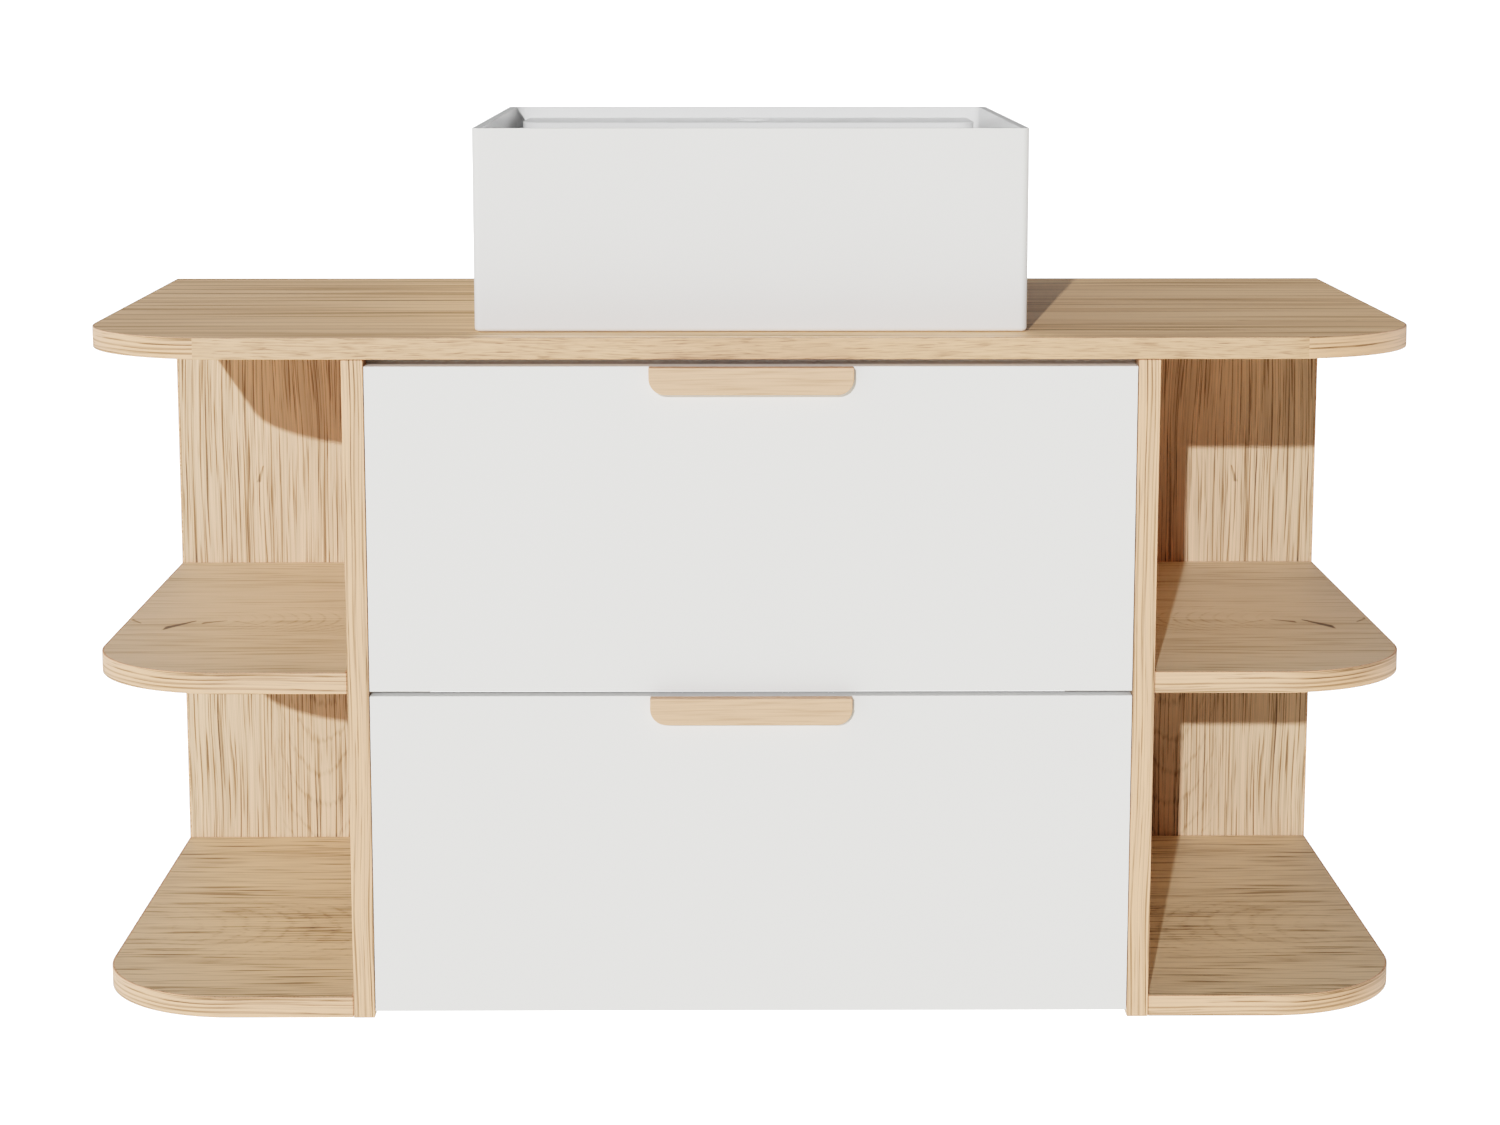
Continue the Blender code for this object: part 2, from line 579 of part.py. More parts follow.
def build_waste_body(materials, parent):
    """The flanged tube, with a bar across it that guides the stem of the cap."""
    bore = TUBE_RADIUS - TUBE_WALL
    flange_low = FLANGE_TOP - FLANGE_THICKNESS
    profile = [(bore, TUBE_END_HEIGHT), (TUBE_RADIUS, TUBE_END_HEIGHT), (TUBE_RADIUS, flange_low),
               (FLANGE_RADIUS, flange_low), (FLANGE_RADIUS, FLANGE_TOP - FLANGE_EDGE),
               (FLANGE_RADIUS - FLANGE_EDGE, FLANGE_TOP), (bore + TUBE_WALL, FLANGE_TOP),
               (bore, FLANGE_TOP - TUBE_WALL)]
    body = add_turned("waste_body", profile, (0.0, DRAIN_Y, 0.0), "Z", materials["chrome"], parent)
    half = GUIDE_HALF_THICKNESS
    reach = TUBE_RADIUS - TUBE_WALL / 2
    bar = add_block("stem_guide_bar", (-reach, reach), (DRAIN_Y - half, DRAIN_Y + half),
                    (GUIDE_HEIGHT - half, GUIDE_HEIGHT + half), None, parent)
    profile = rod_profile(STEM_RADIUS + half, GUIDE_HEIGHT - 2 * half, GUIDE_HEIGHT + 2 * half)
    boss = add_turned("stem_guide_boss", profile, (0.0, DRAIN_Y, 0.0), "Z", None, parent, segments=16)
    add_boolean(body, bar, "UNION")
    add_boolean(body, boss, "UNION")
    through = (GUIDE_HEIGHT - OVERCUT, GUIDE_HEIGHT + OVERCUT)
    add_hole("stem_hole_cutter", body, 0.0, DRAIN_Y, through, STEM_RADIUS + GAP, parent)


def build_waste_cap(materials, parent):
    """Push-to-open cap: a shallow dome on a stem, which slides in the guide of the waste body."""
    low = FLANGE_TOP + GAP
    edge = low + CAP_EDGE
    radius = FLANGE_RADIUS - 2 * FLANGE_EDGE
    profile = [(0.0, STEM_END_HEIGHT), (STEM_RADIUS, STEM_END_HEIGHT), (STEM_RADIUS, low), (radius, low)]
    for step in range(5):
        turn = step * math.pi / 2 / 5
        profile.append((radius * math.cos(turn), edge + CAP_DOME * math.sin(turn)))
    profile.append((0.0, edge + CAP_DOME))
    own = [(distance, height - FLANGE_TOP) for distance, height in profile]
    add_turned("waste_cap", own, (0.0, DRAIN_Y, FLANGE_TOP), "Z", materials["chrome"], parent)


def build_trap_inlet(materials, parent):
    """Tube that dips into the cup, and the nut that holds it to the end of the waste."""
    place = (0.0, DRAIN_Y, 0.0)
    low = OUTLET_HEIGHT - TRAP_HALF_HEIGHT - DIP
    tube = ring_profile(PIPE_RADIUS - PIPE_WALL, PIPE_RADIUS, low, TUBE_END_HEIGHT + PIPE_GRIP)
    step = TUBE_END_HEIGHT - GAP
    nut_low = step - SLIP_NUT_CAP
    nut_high = step + SLIP_NUT_GRIP
    grip = TUBE_RADIUS + GAP
    nut = [(SLIDING_FIT, nut_low), (SLIP_NUT_RADIUS, nut_low), (SLIP_NUT_RADIUS, nut_high),
           (grip, nut_high), (grip, step), (SLIDING_FIT, step)]
    add_turned("trap_inlet_tube", tube, place, "Z", materials["plastic"], parent)
    add_turned("trap_inlet_nut", nut, place, "Z", materials["plastic"], parent)


def build_trap_body(materials, parent):
    """Hollow body, open at the bottom, with a neck round the inlet tube and a spigot for the outlet."""
    low = OUTLET_HEIGHT - TRAP_HALF_HEIGHT
    top = OUTLET_HEIGHT + TRAP_HALF_HEIGHT
    shoulder = top - TRAP_SHOULDER
    profile = [(TRAP_INSIDE, low), (TRAP_RADIUS, low), (TRAP_RADIUS, shoulder),
               (TRAP_RADIUS - TRAP_SHOULDER, top), (TRAP_NECK_RADIUS, top),
               (TRAP_NECK_RADIUS, top + TRAP_NECK_HEIGHT), (SLIDING_FIT, top + TRAP_NECK_HEIGHT),
               (SLIDING_FIT, top - TRAP_WALL), (TRAP_INSIDE, shoulder)]
    body = add_turned("trap_body", profile, (0.0, DRAIN_Y, 0.0), "Z", materials["plastic"], parent)
    outlet = (0.0, DRAIN_Y, OUTLET_HEIGHT)
    outside = rod_profile(SPIGOT_RADIUS, TRAP_INSIDE - GAP, SPIGOT_END)
    bore = rod_profile(SLIDING_FIT, SPIGOT_RADIUS, SPIGOT_END + OVERCUT)
    add_boolean(body, add_turned("spigot_guide", outside, outlet, "Y", None, parent), "UNION")
    add_boolean(body, add_turned("spigot_cutter", bore, outlet, "Y", None, parent), "DIFFERENCE")


def build_trap_cup(materials, parent):
    """Cup with a collar that fits inside the body."""
    joint = OUTLET_HEIGHT - TRAP_HALF_HEIGHT
    low = joint - CUP_HEIGHT
    collar = TRAP_INSIDE - GAP
    inside = collar - TRAP_WALL
    profile = [(0.0, low), (TRAP_RADIUS - CUP_EDGE, low), (TRAP_RADIUS, low + CUP_EDGE),
               (TRAP_RADIUS, joint - GAP), (collar, joint - GAP), (collar, joint + CUP_COLLAR_HEIGHT),
               (inside, joint + CUP_COLLAR_HEIGHT), (inside, low + CUP_EDGE), (0.0, low + CUP_EDGE / 2)]
    add_turned("trap_cup", profile, (0.0, DRAIN_Y, 0.0), "Z", materials["plastic"], parent)


def build_trap_outlet(materials, parent):
    """Tube back to the wall, the nut on the spigot and the rosette that hides the hole in the wall."""
    place = (0.0, DRAIN_Y, OUTLET_HEIGHT)
    wall = -DRAIN_Y
    tube = ring_profile(PIPE_RADIUS - PIPE_WALL, PIPE_RADIUS, TRAP_RADIUS + GAP, wall)
    grip = SPIGOT_RADIUS + GAP
    step = SPIGOT_END + GAP
    nut_low = step - SLIP_NUT_GRIP
    nut_high = step + SLIP_NUT_CAP
    nut = [(grip, nut_low), (OUTLET_NUT_RADIUS, nut_low), (OUTLET_NUT_RADIUS, nut_high),
           (SLIDING_FIT, nut_high), (SLIDING_FIT, step), (grip, step)]
    neck = wall - ROSETTE_DEPTH
    lip = wall - TRAP_WALL
    rosette = [(SLIDING_FIT, neck), (SLIDING_FIT + TRAP_WALL, neck), (ROSETTE_RADIUS - FLANGE_EDGE, lip),
               (ROSETTE_RADIUS, wall), (SLIDING_FIT, wall)]
    add_turned("trap_outlet_tube", tube, place, "Y", materials["plastic"], parent)
    add_turned("trap_outlet_nut", nut, place, "Y", materials["plastic"], parent)
    add_turned("wall_flange", rosette, place, "Y", materials["chrome"], parent)


# ---------------------------------------------------------------- assembly

def make_materials():
    return {
        "oak": make_material("oak", (0.72, 0.56, 0.38), 0.55),
        "white": make_material("white", (0.82, 0.82, 0.82), 0.45),
        "melamine": make_material("melamine", (0.78, 0.78, 0.77), 0.50),
        "hardboard": make_material("hardboard", (0.70, 0.69, 0.66), 0.60),
        "ceramic": make_material("ceramic", (0.86, 0.86, 0.86), 0.12),
        "steel": make_material("steel", (0.62, 0.62, 0.63), 0.35, 1.0),
        "chrome": make_material("chrome", (0.80, 0.80, 0.81), 0.08, 1.0),
        "brass": make_material("brass", (0.72, 0.55, 0.25), 0.30, 1.0),
        "plastic": make_material("plastic", (0.80, 0.80, 0.79), 0.40),
        "rubber": make_material("rubber", (0.05, 0.05, 0.05), 0.80),
    }


def build_drawers(materials, vanity):
    boxes = {"upper": build_upper_box, "lower": build_lower_box}
    for level, front_height in (("upper", UPPER_FRONT_HEIGHT), ("lower", LOWER_FRONT_HEIGHT)):
        box_height = front_height + BOX_RISE
        runner_height = box_height + DRAWER_SIDE_HEIGHT / 2
        slide = (0.0, RUNNER_REAR_Y - RUNNER_LENGTH, runner_height)
        drawer = make_empty(level + "_drawer_slide", slide, vanity)
        middle = make_empty(level + "_runner_slide", slide, vanity)
        build_front_and_pull(level, front_height, materials, drawer)
        build_drawer_sides(level, front_height, materials, drawer)
        boxes[level](box_height + BOTTOM_RISE, box_height + DRAWER_SIDE_HEIGHT, materials, drawer)
        build_runners(level, runner_height, materials, vanity, middle, drawer)


def build_waste_and_trap(materials, vanity):
    cap_slide = make_empty("waste_cap_slide", (0.0, DRAIN_Y, FLANGE_TOP), vanity)
    build_seals_and_nut(materials, vanity)
    build_waste_body(materials, vanity)
    build_waste_cap(materials, cap_slide)
    build_trap_inlet(materials, vanity)
    build_trap_body(materials, vanity)
    build_trap_cup(materials, vanity)
    build_trap_outlet(materials, vanity)


def main():
    clear_scene()
    materials = make_materials()
    vanity = make_empty("vanity", (0.0, 0.0, -RAIL_CENTRE_HEIGHT))
    build_worktop(materials, vanity)
    build_partitions(materials, vanity)
    build_shelf_units(materials, vanity)
    build_rails(materials, vanity)
    build_hanging_brackets(materials, vanity)
    build_drawers(materials, vanity)
    build_basin(materials, vanity)
    build_waste_and_trap(materials, vanity)
    bpy.context.view_layer.update()


main()
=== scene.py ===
"""Looks of the wall-hung vanity: oak-faced boards, lacquered drawer fronts, a ceramic vessel basin, its
waste and trap, and the drawer boxes on their runners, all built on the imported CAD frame."""
import json
import math

import bmesh
import bpy
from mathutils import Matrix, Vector


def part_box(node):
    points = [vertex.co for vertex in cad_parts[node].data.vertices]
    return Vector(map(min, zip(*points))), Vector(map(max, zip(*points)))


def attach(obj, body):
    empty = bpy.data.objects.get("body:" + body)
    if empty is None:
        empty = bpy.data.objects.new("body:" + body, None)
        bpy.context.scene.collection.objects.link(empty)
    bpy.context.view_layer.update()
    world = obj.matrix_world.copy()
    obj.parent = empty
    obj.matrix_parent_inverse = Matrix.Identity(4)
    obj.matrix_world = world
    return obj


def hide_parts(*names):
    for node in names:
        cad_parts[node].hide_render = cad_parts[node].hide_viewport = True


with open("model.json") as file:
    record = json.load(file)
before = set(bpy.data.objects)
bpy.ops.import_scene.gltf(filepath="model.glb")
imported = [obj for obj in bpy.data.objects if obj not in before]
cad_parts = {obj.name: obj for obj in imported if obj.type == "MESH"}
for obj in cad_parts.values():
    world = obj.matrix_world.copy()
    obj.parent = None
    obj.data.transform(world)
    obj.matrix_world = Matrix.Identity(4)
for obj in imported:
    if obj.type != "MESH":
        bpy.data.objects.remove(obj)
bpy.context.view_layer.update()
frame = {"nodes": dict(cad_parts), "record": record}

BODY_OF = {node: body for body, nodes in frame["record"]["behaviour"]["bodies"].items() for node in nodes}
AXES = "XYZ"

# Finish of the boards, in metres.
EDGE_ROUND = 0.0006
BAND_THICKNESS = 0.0016
SEAM_WIDTH = 0.00016
SEAM_DEPTH = 0.00012
SHARP_CORNER = 0.0008
LEAST_RADIUS = SHARP_CORNER / 50
WORKTOP_CORNER = 0.110
SHELF_CORNER = 0.105
PULL_CORNER = 0.012
TAP_FROM_BACK = 0.060
DRAIN_CUT_RADIUS = 0.024
HOSE_CUT_RADIUS = 0.025

# Steps in a quarter turn of a wide and a sharp corner and of a rounded edge, and in a whole hole.
ROUND_STEPS = 28
SHARP_STEPS = 3
EDGE_STEPS = 3
HOLE_STEPS = 48

# A stretch of a board's outline that is steeper than this doesn't belong to its front or back edge.
FRONT_EDGE_SLOPE = 0.18

# Rounding of the sharp edges that the other pieces get, in metres.
FRONT_ROUND = 0.0008
RAIL_ROUND = 0.0006
SOFT_ROUND = 0.0004
SHEET_ROUND = 0.0003
SCREW_ROUND = 0.0002

# Edges are rounded where faces meet at more than SHARP_DEGREES, and shaded sharp past SMOOTH_DEGREES.
SHARP_DEGREES = 30.0
SMOOTH_DEGREES = 40.0

# Meshes are welded over these gaps, in metres, and made flat where they bend by less than these degrees.
CAD_GAP = 0.00001
CAD_FLATNESS = 1.0
CUT_GAP = 0.00002
CUT_FLATNESS = 0.5

# Basin, in metres.
FOOT_ROUND = 0.003
RIM_WIDTH = 0.006
RIM_ROUND = 0.0014
BASIN_CORNER = 0.005
DECK_DROP = 0.009
DECK_HALF_WIDTH = 0.188
DECK_LENGTH = 0.106
DECK_CORNER = 0.018
TAP_HOLE_RADIUS = 0.0175
BOWL_DEPTH = 0.120
BOWL_INSET = 0.034
BOWL_TOP_CORNER = 0.008
BOWL_FLOOR_CORNER = 0.047
CERAMIC = 0.012
SKIRT = 0.009
SKIRT_CORNER = 0.014
TUBE_RADIUS = 0.0215
FLANGE_RADIUS = 0.031
FLANGE_RECESS = 0.0045
FLANGE_PLAY = 0.001
OVERCUT = 0.005

# Steps in the rounding of the basin's foot, in the wall of its bowl and round its bores, and the power
# that bends the wall: lower is steeper at the floor.
FOOT_STEPS = 6
BOWL_STEPS = 18
BORE_STEPS = 96
WALL_CURVE = 0.8

# Camera and light. Each part of the ambience is the way that it comes from, its strength and its colour.
# The film response has a contrast, the light that its curve is scaled to, and the lights that shape it.
SENSOR_WIDTH = 36.0
CAMERA_PLACE = (-0.0152, -2.8124, 0.3214)
CAMERA_PITCH = 0.16117
CAMERA_YAW = 0.00615
LENS = 77.04
SHIFT_UP = -0.0380
KEY_TRAVEL = Vector((0.19, 1.0, -0.285))
KEY_STRENGTH = 6.4
KEY_ANGLE = 0.011
FILL_TRAVEL = Vector((-1.0, -0.45, 0.0))
FILL_STRENGTH = 1.3
FILL_ANGLE = 0.9
WHITE = (1.0, 1.0, 1.0)
WARM_WHITE = (1.0, 0.96, 0.80)
AMBIENCE = (
    ((-1.0, 0.0, 0.0), 1.90, WHITE),
    ((0.0, 0.0, -1.0), 4.80, WARM_WHITE),
    ((0.0, 1.0, 0.0), 0.60, WHITE),
)
BACKDROP = 9.0
FILM_CONTRAST = 1.244
FILM_WHITE = 6.0
FILM_POINTS = (0.03, 0.07, 0.12, 0.2, 0.3, 0.45, 0.65, 0.9, 1.2, 1.6, 2.1, 2.7, 3.3, 3.9)
FLOOR_DROP = 0.35
FLOOR_SIZE = 60.0

# Most noise lies between these two values.
NOISE_LOW = 0.3
NOISE_HIGH = 0.7


# ---------------------------------------------------------------- camera, light and floor

def make_camera():
    data = bpy.data.cameras.new("camera")
    data.sensor_width = SENSOR_WIDTH
    data.lens = LENS
    data.shift_y = SHIFT_UP
    camera = bpy.data.objects.new("camera", data)
    camera.location = CAMERA_PLACE
    camera.rotation_euler = (math.pi / 2 - CAMERA_PITCH, 0.0, -CAMERA_YAW)
    bpy.context.scene.collection.objects.link(camera)
    bpy.context.scene.camera = camera


def make_sun(name, travel, strength, angle):
    data = bpy.data.lights.new(name, "SUN")
    data.energy = strength
    data.angle = angle
    sun = bpy.data.objects.new(name, data)
    sun.rotation_euler = travel.to_track_quat("-Z", "Y").to_euler()
    bpy.context.scene.collection.objects.link(sun)


def make_world():
    """Soft light mostly from below and from the left, as if thrown back by a pale floor and wall. What the
    camera sees behind the object is bright enough to come out white."""
    world = bpy.data.worlds.new("studio")
    world.use_nodes = True
    nodes = world.node_tree.nodes
    links = world.node_tree.links
    nodes.clear()
    direction = nodes.new("ShaderNodeTexCoord").outputs["Generated"]
    light = None
    for axis, strength, colour in AMBIENCE:
        facing = nodes.new("ShaderNodeVectorMath")
        facing.operation = "DOT_PRODUCT"
        facing.inputs[1].default_value = axis
        links.new(direction, facing.inputs[0])
        facing = calculate(nodes, links, "MAXIMUM", facing.outputs["Value"], 0.0)
        lobe = make_background(nodes, colour)
        links.new(calculate(nodes, links, "MULTIPLY", facing, strength), lobe.inputs["Strength"])
        if light:
            total = nodes.new("ShaderNodeAddShader")
            links.new(light, total.inputs[0])
            links.new(lobe.outputs[0], total.inputs[1])
            light = total.outputs[0]
        else:
            light = lobe.outputs[0]
    backdrop = make_background(nodes, WHITE)
    backdrop.inputs["Strength"].default_value = BACKDROP
    mix = nodes.new("ShaderNodeMixShader")
    output = nodes.new("ShaderNodeOutputWorld")
    links.new(nodes.new("ShaderNodeLightPath").outputs["Is Camera Ray"], mix.inputs[0])
    links.new(light, mix.inputs[1])
    links.new(backdrop.outputs[0], mix.inputs[2])
    links.new(mix.outputs[0], output.inputs[0])
    bpy.context.scene.world = world


def make_background(nodes, colour):
    background = nodes.new("ShaderNodeBackground")
    background.inputs["Color"].default_value = (*colour, 1.0)
    return background


def make_floor():
    """Pale floor well below the hanging cabinet, as bright as the backdrop. It is seen from above only, and
    it throws no light on the object."""
    low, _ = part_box("left_partition")
    bm = bmesh.new()
    bmesh.ops.create_grid(bm, x_segments=1, y_segments=1, size=FLOOR_SIZE)
    mesh = bpy.data.meshes.new("floor")
    bm.to_mesh(mesh)
    bm.free()
    floor = bpy.data.objects.new("floor", mesh)
    floor.location.z = low.z - FLOOR_DROP
    floor.visible_diffuse = False
    floor.visible_glossy = False
    floor.visible_transmission = False
    floor.visible_shadow = False
    bpy.context.scene.collection.objects.link(floor)
    material, nodes, links, shader = new_material("floor_paint", (0.9, 0.9, 0.9), 0.8)
    shader.inputs["Emission Color"].default_value = (*WHITE, 1.0)
    shader.inputs["Emission Strength"].default_value = BACKDROP
    grit = texture(nodes, links, 30.0, detail=3.0)
    add_bump(nodes, links, shader, grit, strength=0.05, distance=0.001)
    clear_from_below = nodes.new("ShaderNodeMixShader")
    links.new(nodes.new("ShaderNodeNewGeometry").outputs["Backfacing"], clear_from_below.inputs[0])
    links.new(shader.outputs[0], clear_from_below.inputs[1])
    links.new(nodes.new("ShaderNodeBsdfTransparent").outputs[0], clear_from_below.inputs[2])
    links.new(clear_from_below.outputs[0], nodes["Material Output"].inputs["Surface"])
    mesh.materials.append(material)


def set_film_response():
    """A film-like response: dark parts keep their contrast, and strong light fades towards white."""
    view = bpy.context.scene.view_settings
    view.view_transform = "Standard"
    view.look = "None"
    view.use_curve_mapping = True
    curves = view.curve_mapping
    curves.white_level = (FILM_WHITE,) * 3
    response = curves.curves[3]
    for light in FILM_POINTS:
        power = light ** FILM_CONTRAST
        response.points.new(light / FILM_WHITE, power / (power + 1.0))
    curves.update()


# ---------------------------------------------------------------- material nodes

def new_material(name, colour, roughness, metallic=0.0):
    material = bpy.data.materials.new(name)
    material.use_nodes = True
    nodes = material.node_tree.nodes
    shader = nodes["Principled BSDF"]
    shader.inputs["Base Color"].default_value = (*colour, 1.0)
    shader.inputs["Roughness"].default_value = roughness
    shader.inputs["Metallic"].default_value = metallic
    return material, nodes, material.node_tree.links, shader


def grain_coordinates(nodes):
    """Along the grain, across the grain, in metres, from the boards' own layer."""
    layer = nodes.new("ShaderNodeUVMap")
    layer.uv_map = "grain"
    return layer.outputs["UV"]


def scaled(nodes, links, vector, factors, offset=(0.0, 0.0, 0.0)):
    multiply = nodes.new("ShaderNodeVectorMath")
    multiply.operation = "MULTIPLY_ADD"
    multiply.inputs[1].default_value = factors
    multiply.inputs[2].default_value = offset
    links.new(vector, multiply.inputs[0])
    return multiply.outputs[0]


def noise(nodes, links, vector, detail=2.0, distortion=0.0):
    node = nodes.new("ShaderNodeTexNoise")
    node.inputs["Scale"].default_value = 1.0
    node.inputs["Detail"].default_value = detail
    node.inputs["Distortion"].default_value = distortion
    links.new(vector, node.inputs["Vector"])
    return node.outputs["Fac"]


def texture(nodes, links, scale, detail=2.0, distortion=0.0):
    """Noise in the piece's own space. The scale is in features per metre, one for all axes or one each."""
    place = nodes.new("ShaderNodeTexCoord").outputs["Object"]
    factors = scale if isinstance(scale, tuple) else (scale,) * 3
    return noise(nodes, links, scaled(nodes, links, place, factors), detail, distortion)


def calculate(nodes, links, operation, first, second=None, third=None):
    """Math node; every operand is a number or an output socket."""
    node = nodes.new("ShaderNodeMath")
    node.operation = operation
    for socket, operand in zip(node.inputs, (first, second, third)):
        if isinstance(operand, (int, float)):
            socket.default_value = operand
        elif operand is not None:
            links.new(operand, socket)
    return node.outputs[0]


def mapped(nodes, links, value, low, high, start=0.0, end=1.0):
    """Smooth step from start to end as value goes from low to high."""
    node = nodes.new("ShaderNodeMapRange")
    node.interpolation_type = "SMOOTHSTEP"
    for name, number in (("From Min", low), ("From Max", high), ("To Min", start), ("To Max", end)):
        node.inputs[name].default_value = number
    links.new(value, node.inputs["Value"])
    return node.outputs["Result"]


def colour_ramp(nodes, links, value, stops):
    ramp = nodes.new("ShaderNodeValToRGB")
    elements = ramp.color_ramp.elements
    for element, (place, colour) in zip(elements, (stops[0], stops[-1])):
        element.position = place
        element.color = (*colour, 1.0)
    for place, colour in stops[1:-1]:
        elements.new(place).color = (*colour, 1.0)
    links.new(value, ramp.inputs["Fac"])
    return ramp.outputs["Color"]


def add_tones(nodes, links, shader, value, stops):
    links.new(colour_ramp(nodes, links, value, stops), shader.inputs["Base Color"])


def add_gloss(nodes, links, shader, value, smoothest, roughest):
    """Roughness that follows a noise value."""
    roughness = mapped(nodes, links, value, NOISE_LOW, NOISE_HIGH, smoothest, roughest)
    links.new(roughness, shader.inputs["Roughness"])


def add_bump(nodes, links, shader, height, strength, distance):
    bump = nodes.new("ShaderNodeBump")
    bump.inputs["Strength"].default_value = strength
    bump.inputs["Distance"].default_value = distance
    links.new(height, bump.inputs["Height"])
    links.new(bump.outputs[0], shader.inputs["Normal"])


# ---------------------------------------------------------------- materials

# Pale, middle and dark wood of each kind of board, and its grain. A grain layer is the width and length
# of its streaks in metres, the band of noise in which they grow to full, and how much they darken.
OAK_KINDS = {
    # The worktop's wood is paler and brighter than the other boards' partly from its own grain and partly as
    # painted light: it stands in for light from above and the sheen of its grazing top, which the lamps here
    # don't give.
    "worktop": (((0.970, 0.600, 0.320), (0.772, 0.461, 0.236), (0.470, 0.265, 0.105)),
                ((0.011, 0.26, 0.3, 0.7, 0.8), (0.005, 0.16, 0.35, 0.68, 0.75),
                 (0.0018, 0.09, 0.35, 0.7, 0.4), (0.003, 0.014, 0.71, 0.77, 0.45))),
    "middle_shelf": (((0.740, 0.570, 0.410), (0.665, 0.530, 0.370), (0.400, 0.285, 0.165)),
                     ((0.003, 0.06, 0.35, 0.68, 0.4), (0.0014, 0.035, 0.4, 0.68, 0.4),
                      (0.024, 0.16, 0.3, 0.7, 0.32))),
    "bottom_shelf": (((0.800, 0.580, 0.375), (0.700, 0.515, 0.335), (0.360, 0.235, 0.120)),
                     ((0.002, 0.05, 0.52, 0.66, 0.6), (0.0013, 0.03, 0.35, 0.68, 0.5),
                      (0.016, 0.12, 0.3, 0.7, 0.36))),
    "panel": (((0.760, 0.475, 0.305), (0.550, 0.370, 0.238), (0.250, 0.135, 0.055)),
              ((0.0007, 0.06, 0.3, 0.7, 0.5), (0.0008, 0.045, 0.54, 0.65, 0.62),
               (0.0009, 0.14, 0.54, 0.66, 0.58), (0.005, 0.25, 0.3, 0.7, 0.2))),
    "edge": (((0.740, 0.410, 0.242), (0.555, 0.325, 0.200), (0.270, 0.145, 0.062)),
             ((0.0008, 0.06, 0.35, 0.7, 0.4), (0.0008, 0.14, 0.49, 0.59, 0.66),
              (0.0007, 0.025, 0.55, 0.67, 0.5))),
    "front_edge": (((0.670, 0.383, 0.219), (0.535, 0.310, 0.176), (0.279, 0.158, 0.082)),
                   ((0.0005, 0.012, 0.35, 0.7, 0.55), (0.0005, 0.008, 0.54, 0.68, 0.4),
                    (0.004, 0.06, 0.3, 0.7, 0.22))),
    "pull": (((0.660, 0.381, 0.230), (0.570, 0.337, 0.207), (0.400, 0.232, 0.132)),
             ((0.0006, 0.025, 0.35, 0.7, 0.5), (0.0014, 0.04, 0.35, 0.7, 0.36))),
}

# Darkness runs from 0 in pale wood, through the middle value, to 1 in dark wood, and is full in a split,
# whose colour is a part of the dark wood's.
MIDDLE_DARKNESS = 0.5
FULL_DARKNESS = 1.5
SPLIT_SHADE = 0.3
OAK_ROUGHNESS = (0.46, 0.62)

# Cathedral figures: growth rings that show as parabolas, nested about a heart line along the board. Places
# are metres along and across the grain, from the inner back corner of a shelf or the inner bottom corner of
# a panel. The rings are a spacing apart on the heart, roundness is twice their radius there, gap is how much
# of the way between two rings stays plain, and the figure fades out at half_width to either side and over
# the reach along the grain. A split is its start and end, measured across from the heart, its width and
# how much it darkens.
FIGURES = {
    "middle_shelf": {"heart": -0.277, "spacing": 0.012, "roundness": 0.068, "raggedness": 0.3, "gap": 0.30,
                     "half_width": 0.090, "reach": (0.05, 0.16), "strength": 0.30,
                     "splits": (((0.166, -0.036), (0.143, -0.003), 0.0100, 1.20),
                                ((0.139, -0.015), (0.118, -0.003), 0.0050, 0.80),
                                ((0.116, -0.004), (0.086, -0.027), 0.0030, 0.35),
                                ((0.197, 0.004), (0.186, -0.014), 0.0060, 0.70))},
    "bottom_shelf": {"heart": -0.300, "spacing": 0.019, "roundness": 0.110, "raggedness": 1.2, "gap": 0.34,
                     "half_width": 0.120, "reach": (0.08, 0.24), "strength": 0.26, "splits": ()},
    "panel": {"heart": 0.078, "spacing": 0.032, "roundness": 0.026, "raggedness": 0.5, "gap": 0.36,
              "half_width": 0.062, "reach": (0.19, 0.26), "strength": 0.22,
              "splits": (((0.337, 0.051), (0.353, 0.047), 0.0026, 0.60),)},
}

# How far the grain strays from straight, in metres, how far the rings stray, in rings, and the scale of
# each kind of straying, in features per metre along and across.
GRAIN_WAVE = 0.016
WAVE_SCALE = (3.0, 9.0, 1.0)
SLOW_BEND = 1.2
SLOW_BEND_SCALE = (12.0, 14.0, 1.0)
RAGGED_SCALE = (40.0, 400.0, 1.0)

# How much of its width a split loses towards its end, how much of the rest is fully dark, and the part of
# its length over which each end fades in.
SPLIT_TAPER = 0.75
SPLIT_CORE = 0.3
SPLIT_FADE = 0.10


def wavy_grain(nodes, links):
    """Grain coordinates pushed sideways by slow noise, so that streaks are never quite straight."""
    grain = grain_coordinates(nodes)
    bend = noise(nodes, links, scaled(nodes, links, grain, WAVE_SCALE))
    sideways = calculate(nodes, links, "MULTIPLY_ADD", bend, GRAIN_WAVE, -GRAIN_WAVE / 2)
    combine = nodes.new("ShaderNodeCombineXYZ")
    links.new(sideways, combine.inputs["Y"])
    bent = nodes.new("ShaderNodeVectorMath")
    links.new(grain, bent.inputs[0])
    links.new(combine.outputs[0], bent.inputs[1])
    return bent.outputs[0]


def add_streaks(nodes, links, bent, layers):
    """Darkness of all the layers together, which is about the middle on average."""
    means = (strength * layer_mean(low, high) for _, _, low, high, strength in layers)
    darkness = MIDDLE_DARKNESS - sum(means)
    for seed, (width, length, low, high, strength) in enumerate(layers):
        elsewhere = (3.7 * seed, 1.3 * seed, 5.1 * seed)
        place = scaled(nodes, links, bent, (0.5 / length, 0.5 / width, 1.0), elsewhere)
        streak = mapped(nodes, links, noise(nodes, links, place), low, high)
        darkness = calculate(nodes, links, "MULTIPLY_ADD", streak, strength, darkness)
    return darkness


